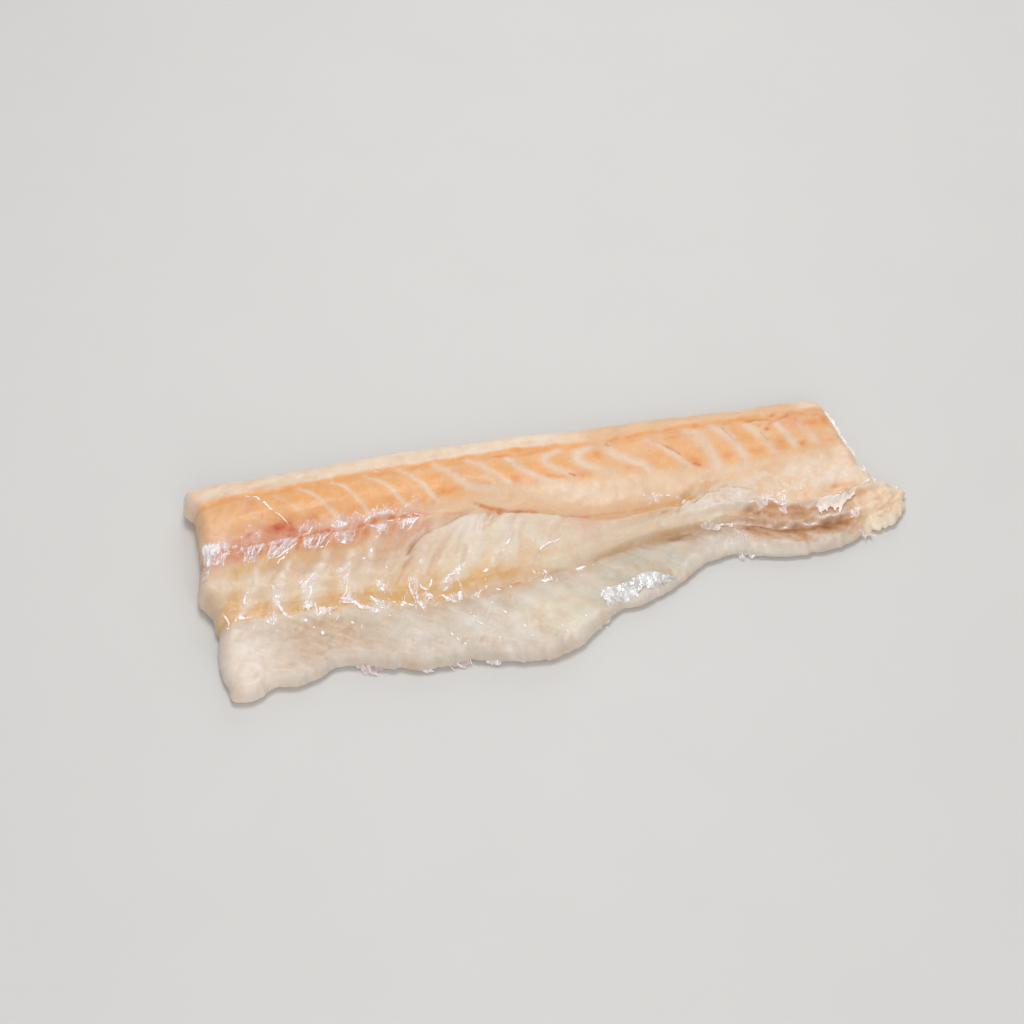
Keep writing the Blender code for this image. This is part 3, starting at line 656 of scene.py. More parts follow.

# Lines of one tint: (strength, half width, points)
# Of these, the lines at (82 to 91, 53 to 61), (115.6 to 119, 59 to 65) and (103 to 119, 31) are painted
# shade.
RUST_LINES = [
    (0.35, 0.4, [(17, 73.4), (30, 73.3), (42, 73)]), (0.8, 0.45, [(41, 73), (46, 71.6)]),
    (0.95, 0.5, [(44, 71), (50, 71.7), (55, 71.5), (62, 70.4), (70, 71), (80, 71), (93, 69.8)]),
    (0.9, 0.9, [(73, 71.7), (78, 71.9), (81, 71.4)]), (0.5, 1, [(50, 71.8), (55, 71.6)]),
    (0.3, 0.5, [(82, 53.4), (84.5, 56.6), (88, 60), (91, 61.2)]),
    (0.4, 0.4, [(93, 69.6), (100, 68.7), (108, 67.6)]),
    (0.5, 0.35, [(208, 41), (214, 39.4), (219, 37.1), (224, 34.7), (228, 33.7)]),
    (0.5, 0.5, [(213, 43.9), (222, 43.1), (230, 40), (240, 38.2)]),
    (0.6, 0.6, [(228, 83.5), (231, 84.3), (234, 83)]), (0.8, 0.7, [(233.8, 77.5), (234.6, 77.6)]),
    (0.5, 0.5, [(235.5, 79.8), (239.5, 81)]), (0.5, 0.7, [(241, 82), (245.5, 84.3)]),
    (0.5, 0.5, [(241, 96.3), (243, 96)]), (0.5, 0.5, [(194, 52.6), (196, 53.2)]),
    (0.5, 0.3, [(181, 48.4), (183.4, 48.6)]), (0.3, 0.4, [(115.6, 59), (117.4, 62), (119, 65)]),
    (0.5, 0.4, [(103, 30.6), (108, 31)]), (0.5, 0.4, [(110, 31), (119, 31)]),
]
EMBER_LINES = [
    (0.2, 0.6, [(111, 71.6), (114.5, 69.4)]), (1, 0.7, [(114.5, 69), (118, 66.9), (121.5, 65.4)]),
    (0.7, 0.4, [(121, 65.4), (126, 64.3), (131, 62.6), (135, 61.2)]),
    (0.6, 0.6, [(143, 56.9), (148, 55.6), (154, 54.3)]), (0.3, 0.5, [(135, 61), (143, 57.2)]),
    (0.3, 0.5, [(154, 54.3), (165, 52.8), (180, 52.4), (188, 52.6)]),
]
# Painted shade: along the contours of the lobes, under the loin, beneath the lobe roll and along the
# tail's lower fold.
BROWN_LINES = [
    (0.5, 0.6, [(81.6, 53.4), (84, 56.8), (87, 59.8), (91.5, 61.6)]),
    (0.35, 0.5, [(96, 63), (101, 64.6), (105, 66.6), (109, 67.4)]),
    (0.3, 0.5, [(113, 70.2), (118, 67), (121.5, 65.6)]),
    (0.35, 0.4, [(121.5, 65.5), (126, 64.2), (131, 62.4)]),
    (0.35, 0.6, [(150, 34.6), (160, 37), (172, 39.4), (181, 40), (190, 39.6)]),
    (0.3, 0.5, [(212, 40.4), (219, 37), (225, 34), (240, 32.7), (254, 32.8)]),
]
BLOOD_LINES = [
    (0.8, 0.45, [(151, 72.3), (153, 71)]), (0.8, 0.5, [(169.8, 84.8), (170.6, 83.2)]),
    (0.2, 0.4, [(187.5, 82.5), (191, 78.8)]), (0.85, 0.34, [(191.5, 78.3), (193.5, 76), (196, 72)]),
    (0.2, 0.4, [(196, 72), (198.5, 68), (200, 66.6)]),
    (0.8, 0.5, [(200, 66.8), (202.3, 65.3)]), (0.25, 0.3, [(202, 65.4), (206, 63)]),
    (0.45, 0.35, [(217, 82), (218, 78.5), (219, 75.5)]), (0.45, 0.35, [(231.2, 76.5), (232.4, 72)]),
    (0.4, 0.4, [(126, 88.6), (129, 87.7)]), (0.4, 0.3, [(22, 75), (26, 76.8), (27.5, 77)]),
    (0.35, 0.3, [(32.5, 81.5), (33, 84)]), (0.3, 0.3, [(42, 76), (44, 73.5)]),
]
# Pale fibres over the soft flesh, from the crease up, and the lips of the folds near the tail
PALE_STREAKS = [
    (1, 0.5, [(208.5, 40.6), (214, 39.2), (219, 37.2), (225, 34.6), (232, 33.6), (240, 33.4),
              (254, 33.7)]),
    (1, 0.6, [(211, 43.9), (217, 44.4), (223, 43.6), (229, 41.2), (236, 39.6), (242, 39.2)]),
    (0.3, 1, [(8.5, 48), (12, 52.5), (17, 56)]),
    (0.65, 1.4, [(14.5, 42), (18, 47), (22, 52), (24.5, 58)]),
    (0.75, 1.9, [(28.6, 43), (30, 49), (34, 54), (39, 62)]), (0.35, 1.8, [(20, 56), (25, 60), (28, 64)]),
    (0.75, 2, [(40.4, 43), (43, 48), (47, 53), (52, 60)]), (0.4, 0.8, [(37, 47), (39.4, 51)]),
    (0.75, 2, [(54.4, 43), (56, 49), (58.6, 54), (61, 58)]), (0.4, 2.2, [(60, 56), (66, 60), (72, 63)]),
    (0.5, 1, [(67.6, 40), (70, 45), (72.5, 49), (76, 54)]), (0.35, 1.4, [(65, 47), (67, 51)]),
    (0.5, 1.2, [(80, 36), (82, 42), (85.4, 48), (89, 54)]), (0.5, 1.2, [(68, 55), (69.6, 58.5)]),
    (0.5, 1.2, [(97, 38), (101.6, 44), (106, 51), (109, 56)]),
    (0.35, 1, [(92, 45), (96, 51), (101, 57)]),
    (0.4, 1, [(112, 41), (117.6, 46), (121.6, 51), (126, 57)]),
    (0.4, 1, [(127, 36), (130, 41), (133.6, 43.4), (140, 45.6)]),
    (0.5, 1.4, [(104, 52), (108, 58), (111, 64)]), (0.6, 1.6, [(108, 50), (110.6, 56), (112, 60)]),
    (0.4, 1.2, [(116.6, 57), (121, 62), (124, 63.5)]), (0.35, 1.6, [(124, 52), (128, 58), (131, 61)]),
    (0.3, 1.4, [(134, 50), (138, 54), (141, 57)]), (0.3, 1.4, [(100, 62), (108, 66), (115, 67)]),
]


def patches(x, y, table):
    """The sum of oval patches, each fading out as a bell from its middle."""
    total = np.zeros(np.shape(x))
    for along, across, half_length, half_width, turn, strength in table:
        c, s = np.cos(np.radians(turn)), np.sin(np.radians(turn))
        u = ((x - along) * c + (y - across) * s) / half_length
        v = ((y - across) * c - (x - along) * s) / half_width
        total += strength * bell(np.hypot(u, v), 1)
    return total


def spots(x, y):
    """Points on the flesh: where each one lies, how far across the guide lines lie there, which
    part of the fillet it is in, and how the seeded bumps that vary the tints stand there. Every
    place is first shifted about a little, so that no border is ruled, and less so for thin lines."""
    line_x, line_y = x + 0.3 * grain(x, y, 2.5, seed=35), y + 0.3 * grain(x, y, 2.5, seed=36)
    x, y = x + 0.9 * grain(x, y, 5, seed=31), y + 0.7 * grain(x, y, 5, seed=32)
    furrow, seam, lobe, belly = back_furrow(x), bone_seam(x), lobe_edge(x), belly_edge(x)
    crease, fold, foot = flap_crease(x), fold_foot(x), muscle_foot(x)
    mottle = grain(x, y, 8, seed=33)
    strands = grain(x, y, 1.7, seed=34, turn=LOBE_FIBRES, stretch=6)
    crumbly = grain(x, y, 2.2, seed=42, turn=20, stretch=2.5)

    # 1 in each part, 0 outside it
    septa = strokes(line_x, line_y, LOIN_SEPTA)
    petals = strokes(line_x, line_y, LOBE_CREASES)
    crumbs = crumbly_fold(line_x, line_y)
    by_seam = fade(SEAM_END - 14, SEAM_END - 26, x)
    strip = fade(furrow + 1, furrow + 4, y)
    above = fade(crease - 0.5, crease + 1.5, y)
    below = 1 - above
    torn = fade(185, 205, x) * fade(66, 58, y) * above
    on_lobes = above * fade(lobe + 1, lobe - 0.5, y) * fade(222, 205, x)
    lobe_side = above * fade(seam - 1, seam - 6, y) * fade(222, 205, x)
    trough = within(x, 204, 218, 247, 262) * fade(crease + 0.2, crease - 0.7, line_y)
    phase = septum_phase(x, crease - y, FLAP_FIRST, FLAP_PITCH, FLAP_SWEEP)
    stripe = bell(off_septum(phase, FLAP_PITCH), 2.4) * fade(crease, crease - 5, y)
    return SimpleNamespace(**locals())


# How much of each tint lies at the points, before it is kept within 0 to 1.
def cream(at):
    """The strip along the back, the tail end, and the loin below its orange muscle."""
    x, y = at.x, at.y
    return (
        at.strip * (1.0 - 0.8 * within(x, 140, 170, 245, 258) + 0.3 * at.mottle)
        + 0.9 * fade(200, 250, x) * within(y, at.fold, at.fold + 4, at.foot - 10, at.foot)
        + 0.9 * fade(252, 262, x) * fade(75, 55, y)
        + 0.6 * fade(260, 264, x) * fade(46, 43, y)
        + 0.4 * fade(120, 150, x) * within(y, at.seam, at.seam + 3, at.foot - 4, at.foot + 1)
        + 0.3 * fade(30, 5, x) * fade(76, 82, y)
    )


def pearl(at):
    """The whole belly flap."""
    return at.below


def flap(at):
    """Grey-brown shades of the flap: a broad one near the head, and between its pale stripes."""
    x, y = at.x, at.y
    inner = within(y, at.belly, at.belly + 5, at.crease - 8, at.crease - 2)
    return at.below * (
        1.25 * bell(x - 43, 22) * inner
        + 0.35 * within(x, 50, 90, 130, 150) * (1 - 0.6 * at.stripe)
        + 0.2 * at.mottle
        + 0.3 * bell(y - at.crease + 2, 4)
    )


def jade(at):
    """The flap's narrow part, where it is greenish."""
    narrow = bell(at.x - 166, 22) * fade(at.belly + 2, at.belly + 6, at.y)
    return at.below * narrow * (0.8 + 0.3 * at.mottle)


def straw(at):
    """Yellowish patches, on the widest part of the flap and on the lobes."""
    return patches(at.x, at.y, STRAW_PATCHES)


def milk(at):
    """The soft lobes, down to the crease, and the torn flake beside them."""
    lobes = np.maximum(at.on_lobes, at.lobe_side * fade(110, 80, at.x))
    return lobes + 0.5 * bell(at.x - 5, 6) * bell(at.y - 57, 7) + at.crumbs


def beige(at):
    """Mostly painted shade, in beige: in the hollows below the bone seam, in the trough and under the
    torn folds near the tail, just under the crease, and in the creases of the lobes; a little is beige
    tone of the strip and of the lobes near the tail.
    """
    x, y = at.x, at.y
    recess = within(x, 207, 216, 254, 262)
    under_seam = within(y, at.crease + 8, at.crease + 17, at.seam - 4, at.seam - 1)
    under_seam *= fade(100, 80, x) + fade(at.lobe - 0.5, at.lobe + 0.7, y)
    under_seam *= within(x, 14, 36, 115, 125)
    return (
        under_seam * (0.6 + 0.3 * at.strands)
        + 0.75 * recess * at.above * fade(at.fold + 1.2, at.fold - 0.4, y)
        + 0.75 * recess * at.below * fade(at.belly + 3, at.belly + 7, y)
        + 0.3 * at.on_lobes * within(x, 135, 150, 180, 200)
        + 0.15 * at.strip * within(x, 150, 175, 235, 250)
        + 0.3 * at.below * bell(y - at.crease + 1, 2.5) * fade(60, 100, x)
        + 0.9 * at.petals * fade(160, 150, x)
    )


def butter(at):
    """The crumbly lobe at the tail: its own pale yellow, made paler still as painted light."""
    tail_lobe = fade(252, 267, at.x - 0.5 * (at.y - 36)) * fade(50, 44, at.y)
    return tail_lobe * (0.75 + 0.6 * at.crumbly)


def amber(at):
    """Amber along the soft crease, over the lobes above it, and below the bone seam. The thin lines in
    the crease, in the lobes' creases near the tail and beside a petal's edge are painted shade.
    """
    x, y = at.x, at.y
    near_crease = bell(y - at.crease - 2 - 2 * grain(x, y, 9, seed=40), 3) * fade(140, 105, x)
    over_lobes = at.above * fade(at.crease + 17, at.crease + 6, y) * within(x, 44, 56, 104, 128)
    return (
        near_crease * (0.4 + 0.4 * at.mottle)
        + 0.4 * over_lobes * (0.7 + 0.7 * grain(x, y, 9, seed=41, turn=LOBE_FIBRES, stretch=1.6))
        + 0.3 * fade(40, 10, x) * at.lobe_side
        # Painted shade in the lobes' creases near the tail.
        + 0.6 * at.petals * fade(240, 250, x)
        + 0.6 * at.by_seam * bell(y - at.seam + 10, 4) * fade(80, 62, x) * (0.8 + 0.4 * at.mottle)
        # Painted shade: thin lines in the crease.
        + 0.5 * bell(y - at.crease, 1) * within(x, 140, 160, 190, 215)
        + 0.7 * bell(at.line_y - at.crease - 0.4, 0.9) * fade(66, 50, x)
        + patches(x, y, AMBER_PATCHES)
        + 0.12 * at.on_lobes * np.clip(-at.strands, 0, 1) * fade(130, 100, x)
    )


def orange(at):
    """The muscle between the loin's furrow and its foot, broken by the septa, and the trough."""
    x, y = at.x, at.y
    head = fade(124, 80, x) * (0.2 + 0.8 * fade(12, 48, x))
    band = within(y, at.foot - 2.5, at.foot + 2, at.furrow + 0.8, at.furrow + 2.4)
    line = bell(y - at.furrow - 0.8, 1.5) * (0.8 + 0.4 * at.mottle) * fade(245, 225, x)
    blotches = fade(0, 0.6, grain(x, y, 3, seed=43, turn=5, stretch=3))
    muscle = (
        band * (0.4 + 0.5 * head + 0.2 * at.mottle)
        + line
        + patches(x, y, ORANGE_PATCHES)
        + 0.25 * at.strip * within(x, 150, 175, 240, 255)
        + 0.2 * at.torn * fade(0.1, 0.6, -at.crumbly)
        + 0.3 * at.strip * blotches * fade(70, 20, x)
    )
    return muscle * (1 - 0.9 * at.septa) + 0.45 * at.trough * fade(at.crease - 9, at.crease - 4, y)


def ember(at):
    """Deep orange flecks of the loin, and the crease below it."""
    flecks = patches(at.line_x, at.line_y, EMBER_PATCHES) * (1 - 0.6 * at.septa)
    return flecks + strokes(at.line_x, at.line_y, EMBER_LINES)


def pink(at):
    """Both sides of the bone seam, and the head cut below it."""
    x, y = at.x, at.y
    speckle = 0.4 + 1.2 * grain(x, y, 2.4, seed=38)
    along_seam = (
        0.3 * bell(y - at.seam - 2, 4.5) * speckle * fade(95, 60, x)
        + 0.4 * bell(y - at.seam, 3)
        + 0.45 * bell(y - at.seam + 3, 3) * (0.55 + 0.5 * at.strands) * fade(85, 55, x)
        + 0.5 * fade(26, 10, x) * bell(y - at.seam + 4, 5)
    )
    return at.by_seam * along_seam + patches(x, y, PINK_PATCHES)


def brown(at):
    """Mostly painted shade, in brown: in the trough and the dark folds near the tail, under the torn
    flake, along the lobes' contours and under the loin, beneath the lobe roll, and down the crease.
    """
    torn_edge = np.clip(crumbly_fold(at.line_x, at.line_y - 1.1) - at.crumbs, 0, 1)
    return (
        patches(at.line_x, at.line_y, BROWN_PATCHES)
        + 0.8 * at.trough * fade(at.crease - 9, at.crease - 2, at.y)
        # Painted shadow beside the torn flake's upper edge.
        + 0.4 * torn_edge
        + strokes(at.line_x, at.line_y, BROWN_LINES)
        # Painted shade: a thin line down the crease near the head.
        + 0.22 * bell(at.line_y - at.crease - 0.2, 0.5) * fade(64, 44, at.x)
    )


def rust(at):
    """Thin red-brown lines, and strands on both sides of the bone seam. The lines along the lobes' upper
    contour near the head end of the lip, in the groove between two petals, and in the crease at 103 to
    119 along are painted shade.
    """
    x, y = at.x, at.y
    under = bell(y - at.seam + 5, 3.6) * fade(2, 30, x) * (0.4 + 0.5 * fade(-0.2, 0.5, -at.strands))
    over = bell(y - at.seam - 4, 2.4) * fade(0, 0.6, at.strands) * fade(12, 30, x)
    return strokes(at.line_x, at.line_y, RUST_LINES) + at.by_seam * under + 0.3 * at.by_seam * over


def blood(at):
    """Thin red lines of the loin, and patches beside the bone seam near the head."""
    return strokes(at.line_x, at.line_y, BLOOD_LINES) + patches(at.line_x, at.line_y, BLOOD_PATCHES)


def veil(at):
    """Thin white skin over everything but blood: septa, fibres and torn crumbs. The pale tint along the
    petals' raised edges is painted highlight, and the pale patch on the tail lobe painted light.
    """
    x, y = at.x, at.y
    fibres = fade(0, 0.7, grain(x, y, 1.4, seed=45, turn=FLAP_FIBRES, stretch=7))
    raised_edges = strokes(at.line_x + PETAL_LEAN[0], at.line_y + PETAL_LEAN[1], LOBE_CREASES)
    streaks = strokes(at.line_x, at.line_y, PALE_STREAKS)
    skin = (
        0.7 * at.septa * fade(30, 50, x) * (0.7 + 0.3 * at.mottle)
        + 0.3 * bell(x - 106, 14) * bell(y - 58, 8)
        + 0.4 * at.by_seam * bell(y - at.seam, 6) * fade(0.1, 0.7, at.strands)
        + streaks * np.clip(0.75 + 0.7 * grain(x, y, 3, seed=39), 0.1, 1)
        # Painted light: a pale patch over the tail lobe.
        + 0.15 * bell(x - 269, 6) * bell(y - 37, 7)
        # Painted highlight along the petals' raised edges.
        + 0.8 * raised_edges
        + 0.15 * at.on_lobes * fade(110, 80, x) * fade(0.2, 0.8, at.strands)
        + 0.8 * bell(x - 7, 4) * bell(y - 104, 6)
        + 0.9 * bell(x - 8, 20) * bell(y - 20, 16)
        + patches(x, y, VEIL_PATCHES)
        + 0.35 * at.torn * fade(0.1, 0.6, at.crumbly)
        + 0.9 * at.crumbs
        + 0.6 * bell(x - 229, 4) * bell(y - 93, 3)
        + 0.3 * at.stripe * at.below * fade(85, 110, x)
        + 0.35 * at.below * bell(y - at.belly - 2, 2.5) * fade(212, 196, x)
        + 0.2 * at.below * fibres
    )
    return skin * np.clip(1 - 1.5 * blood(at), 0, 1)


# The body's own colour, and the tints that are laid over it in this order, each by its mask. Several
# tints carry painted shade in hollows and creases, and some painted light on raised edges and on the
# tail lobe.
PLAIN = srgb(236, 199, 162)
TINTS = {
    cream: srgb(245, 223, 200),
    pearl: srgb(217, 210, 199),
    flap: srgb(196, 168, 138),
    jade: srgb(190, 184, 164),
    straw: srgb(240, 234, 206),
    milk: srgb(228, 213, 191),
    beige: srgb(212, 173, 140),
    butter: srgb(255, 237, 207),
    amber: srgb(224, 178, 119),
    orange: srgb(243, 178, 114),
    ember: srgb(232, 138, 56),
    pink: srgb(224, 146, 128),
    brown: srgb(158, 102, 50),
    rust: srgb(212, 120, 66),
    blood: srgb(204, 88, 56),
    veil: srgb(238, 223, 210),
}


def tint_masks(x, y):
    """How much of each tint lies at each point, 0 to 1, by the tint's name."""
    at = spots(x, y)
    return {tint.__name__: np.clip(tint(at), 0, 1) for tint in TINTS}


# ---------------------------------------------------------------- meshes
def to_frame(x, y, z):
    """Tables' millimetres to the frame's metres, as an array of points."""
    return np.stack([x - MIDDLE[0], y - MIDDLE[1], z], axis=-1).reshape(-1, 3) * MM


def grid_faces(rows, columns, first=0):
    """The four corners of each cell of a grid numbered row by row."""
    j, i = np.meshgrid(np.arange(rows - 1), np.arange(columns - 1), indexing="ij")
    corner = (first + j * columns + i).ravel()
    return np.stack([corner, corner + 1, corner + columns + 1, corner + columns], axis=1)


def add_piece(name, points, faces, material, attributes):
    """One smooth mesh object that rides on the fillet's body and stands for its solid."""
    mesh = bpy.data.meshes.new(name)
    mesh.from_pydata(points.tolist(), [], faces)
    for label, values in attributes.items():
        layer = mesh.attributes.new(label, "FLOAT", "POINT")
        layer.data.foreach_set("value", np.ravel(values).astype(np.float32))
    mesh.validate()
    mesh.shade_smooth()
    mesh.materials.append(material)
    piece = bpy.data.objects.new(name, mesh)
    bpy.context.scene.collection.objects.link(piece)
    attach(piece, BODY)
    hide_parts(NODE)


def fillet_flesh(material):
    """Upper face, rounded rim and flat rest face: a grid of rows and columns on top, a ring of the
    same grid under the rim, and one flat face."""
    x, y, rim = fillet_grid()
    rows, columns = x.shape
    top = upper_face(x, y, rim)
    under = foot_height(y) * (1 - rim)

    j, i = np.meshgrid(np.arange(rows), np.arange(columns), indexing="ij")
    inward = np.minimum(np.minimum(j, rows - 1 - j), np.minimum(i, columns - 1 - i))
    ring = (inward > 0) & (inward <= RIM_STEPS)
    number = np.arange(rows * columns).reshape(rows, columns)
    below = number.copy()
    below[ring] = rows * columns + np.arange(ring.sum())
    cells = np.minimum(np.minimum(j, rows - 2 - j), np.minimum(i, columns - 2 - i))[:-1, :-1]
    under_faces = np.stack([below[:-1, :-1], below[1:, :-1], below[1:, 1:], below[:-1, 1:]], -1)
    under_faces = under_faces[cells < RIM_STEPS]
    a, b, c, d = RIM_STEPS, rows - 1 - RIM_STEPS, RIM_STEPS, columns - 1 - RIM_STEPS
    loop = [*below[a:b, c], *below[b, c:d], *below[b:a:-1, d], *below[a, d:c:-1]]

    x, y, z = np.append(x, x[ring]), np.append(y, y[ring]), np.append(top, under[ring])
    faces = grid_faces(rows, columns).tolist() + under_faces.tolist() + [list(map(int, loop))]
    add_piece("fillet_flesh", to_frame(x, y, z), faces, material, tint_masks(x, y))


# ---------------------------------------------------------------- films, threads and shreds
STEP = 0.24  # between the points of a film
RIDGE_SIZE = 0.9  # across the ridges of a plain film
TORN_WIDTH = 0.26  # of the thick white edge round a film
STRAND_POINTS = 7  # round a strand
STRAND_WHITE = 0.9
FLECK_RINGS, FLECK_POINTS = 6, 15  # from the middle of a fleck to its rim, and round it


def route(points, share):
    """Places along a smooth curve through the points, for shares 0 to 1 of its length."""
    points = np.array(points, float)
    walked = np.append(0, np.cumsum(np.hypot(*np.diff(points, axis=0).T)))
    at = share * walked[-1]
    x = smooth_curve(list(zip(walked, points[:, 0])))(at)
    y = smooth_curve(list(zip(walked, points[:, 1])))(at)
    return x, y, walked[-1]


def film(root, tip, seed, cover, white, ridge_size=RIDGE_SIZE, fold=0.35, ragged=0.3, lift=0.1,
         hang=0):
    """A thin skin between a root curve and a torn tip curve. It lies on the flesh, lift above it, and
    folds run over it from root to tip: ridges, fold high, where seeded bumps that are drawn out that way
    stand up. Ridges and torn edges are thicker, so they cover more and are whiter; the material makes
    the white parts glow faintly, which is painted light. With hang its tip droops over the flesh's edge
    to just above the floor."""
    length = max(route(root, 1.0)[2], route(tip, 1.0)[2])
    depth = np.hypot(*np.subtract(np.mean(root, axis=0), np.mean(tip, axis=0))) + 1
    columns, rows = int(length / STEP) + 4, int(depth / STEP) + 4
    u, v = np.meshgrid(np.linspace(0, 1, columns), np.linspace(0, 1, rows))
    run, reach = u * length, v * depth
    torn = 1.12 - ragged * np.clip(0.5 + grain(run, 0 * u, 2, seed), 0, 1)
    inward = np.minimum(np.minimum(u, 1 - u) * length, (1 - v) * depth)
    inward = inward - min(1.2, 0.3 * depth) * np.clip(0.4 + grain(run, reach, 1.5, seed + 7), 0, 1)
    root_x, root_y, _ = route(root, u)
    tip_x, tip_y, _ = route(tip, u)
    x = root_x + (tip_x - root_x) * v * torn + 0.3 * grain(run, reach, 1.6, seed + 1) * v
    y = root_y + (tip_y - root_y) * v * torn + 0.3 * grain(run, reach, 1.6, seed + 2) * v
    strayed = run + 0.8 * grain(run, reach, 4, seed + 3)
    ridge = np.clip(2.2 * grain(strayed, reach * 0.13, ridge_size, seed + 4, octaves=2), 0, 1)
    ridge = ridge * np.clip(0.7 + grain(run, reach, 3, seed + 5), 0, 1)
    edge = bell(inward, TORN_WIDTH)
    z = surface_height(x, y) + fold * ridge + lift * fade(0, 0.15, v) - 0.1
    z = z * (1 - hang * v) + 0.3 * hang * v
    thick = cover * (0.9 + 0.5 * grain(run, reach, 2, seed + 6)) + 0.3 * ridge + 0.4 * edge
    thick = np.clip(thick, 0, 1) * fade(0, 0.15, v) * fade(-0.2, 0.1, inward)
    return x, y, z, thick, np.clip(white + 0.5 * ridge + 0.4 * edge, 0, 1)


def strand(points, radius, seed):
    """A slim thread lying on the flesh: a circle carried along the points, thin at both ends and
    of uneven thickness."""
    _, _, length = route(points, 1.0)
    columns = int(length / STEP) + 4
    u, v = np.meshgrid(np.linspace(0, 1, columns), np.linspace(0, 2 * np.pi, STRAND_POINTS))
    x, y, _ = route(points, u)
    along_x, along_y = np.gradient(x, axis=1), np.gradient(y, axis=1)
    size = np.hypot(along_x, along_y) + 1e-9
    uneven_run = grain(u * length, 0 * u, 1.4, seed, octaves=2)
    thickness = 1.2 * radius * np.sin(np.pi * np.clip(u, 0.02, 0.98)) ** 0.8
    thickness = thickness * np.clip(1 + 1.1 * uneven_run, 0.2, 2)
    side = thickness * np.cos(v) + 0.35 * grain(u * length, 0 * u, 2.2, seed + 50)
    z = surface_height(x, y) + 0.2 * thickness + 0.7 * thickness * np.sin(v)
    x = x - along_y / size * side
    y = y + along_x / size * side
    cover = np.clip(0.75 + 0.9 * uneven_run, 0.25, 1)
    return x, y, z, cover, np.full_like(x, STRAND_WHITE)


def fleck(along, across, length, width, turn, seed):
    """A small bead of wet skin: half a lens, longer one way, with a dented rim, white all over; with the
    film's glow it is partly a painted glint.
    """
    share, angle = np.meshgrid(
        np.linspace(0, 1, FLECK_RINGS), np.linspace(0, 2 * np.pi, FLECK_POINTS)
    )
    rim = 1 + 0.3 * grain(3 * np.cos(angle), 3 * np.sin(angle), 1.5, seed, octaves=2)
    u = share * rim * length * np.cos(angle)
    v = share * rim * width * np.sin(angle)
    c, s = np.cos(np.radians(turn)), np.sin(np.radians(turn))
    x, y = along + u * c - v * s, across + u * s + v * c
    z = surface_height(x, y) + 0.55 * width * (1 - share**2) + 0.02
    return x, y, z, 1 - 0.8 * share**4, np.ones_like(x)


def faces_up(x, y, z):
    """Whether a sheet that is numbered row by row faces up: most of its cells turn that way."""
    turned = np.gradient(x, axis=1) * np.gradient(y, axis=0)
    turned -= np.gradient(y, axis=1) * np.gradient(x, axis=0)
    return np.sum((z > z.mean()) * turned) > 0


def join(name, sheets, material):
    """One piece from many grids of points."""
    points, faces, first = [], [], 0
    cover, white = [], []
    for x, y, z, thick, pale in sheets:
        points.append(to_frame(x, y, z))
        quads = grid_faces(*x.shape, first)
        faces.append(quads if faces_up(x, y, z) else quads[:, ::-1])
        cover.append(thick.ravel())
        white.append(pale.ravel())
        first += x.size
    masks = {"cover": np.concatenate(cover), "white": np.concatenate(white)}
    add_piece(name, np.concatenate(points), np.concatenate(faces).tolist(), material, masks)


# Films along the bone seam: cover, whiteness, root points, tip points, and what differs from a
# plain film.
SEAM_FILMS = [
    (0.7, 0.35, [(8, 79), (12, 77.6), (15.6, 77.6), (17.8, 74)],
     [(6.6, 70), (7.4, 63), (11, 63.4), (17, 68.6)], dict(fold=0.4)),
    (0.7, 1.0, [(7.4, 79), (9.4, 77), (13.6, 75.4)],
     [(7.2, 69), (8, 67), (9.6, 69)], dict(fold=0.5, lift=0.4)),
    (0.7, 0.8, [(17.6, 73.8), (20.6, 74)], [(18, 71.4), (20.4, 71.8)]),
    (0.65, 0.15, [(22, 74), (27, 74.2), (31.6, 73.6), (31, 71)],
     [(21, 69), (21.2, 62.8), (24, 63.2), (29, 68)]),
    (0.7, 0.3, [(33, 73.4), (38, 73.4), (44, 72), (43.4, 70)],
     [(31.6, 69), (29.4, 62.4), (32, 62.6), (39, 66.8)]),
    (0.65, 0.25, [(46, 71.6), (50, 72), (56.4, 71), (55.4, 69)],
     [(44.6, 68), (45, 62.4), (47.6, 62.2), (52.6, 67.2)]),
    (0.6, 0.3, [(56.6, 70), (59, 70.4), (62, 70.2), (65.6, 69.4)],
     [(57.4, 66), (59.4, 63.7), (62, 63.6), (64.6, 66)], dict(ragged=0.05)),
    (0.55, 0.7, [(69.6, 70.8), (74, 70.5), (79, 70)], [(72.6, 67.2), (75, 66), (77.4, 67.4)]),
    (0.6, 0.7, [(73, 68), (76, 67)], [(70.6, 63.2), (72.4, 62.2)]),
    (0.5, 0.5, [(75.4, 67.6), (78.6, 69.4)], [(74.8, 64.6), (76.6, 64.4)]),
    (0.6, 0.75, [(80.4, 69.9), (85, 70), (89, 70.3), (93, 69.4)],
     [(81.2, 67.4), (82.4, 65.4), (86.6, 66.4), (90.4, 68.8)]),
    (0.15, 0.3, [(22, 74), (26, 74.2), (30, 73.8)], [(23, 76.8), (26.5, 80), (30, 77.4)]),
    (0.25, 0.2, [(43, 73.2), (47, 72.9), (52, 72.6)], [(45, 75.4), (49, 77), (53, 77)]),
    (0.8, 0.9, [(45.5, 72.2), (48, 73), (50, 75)], [(44.5, 71.4), (47.5, 71.6), (50.4, 73.8)]),
    (0.3, 0.3, [(56.5, 72.3), (60, 72), (65, 72), (70, 71.8)],
     [(57, 74), (60, 75.2), (64, 76.8), (70, 73.6)]),
    (0.65, 0.6, [(56.8, 71.9), (60, 71.6), (63, 71.9)],
     [(57, 73.6), (60, 73.9), (63, 73.2)], dict(ragged=0.1)),
    (0.3, 0.5, [(71, 72.2), (76, 72.8), (81, 72.2)], [(72.4, 74.6), (76, 77.4), (80.4, 76)]),
    (0.15, 0.3, [(83, 71.5), (88, 71.5), (93, 70.8)], [(84, 74), (88, 75.6), (92.6, 76)]),
    (0.5, 0.6, [(69, 71.2), (72, 72.2), (76, 72.6), (82, 71.8)],
     [(69.5, 72.4), (73, 73.4), (77, 74), (82, 73)]),
]
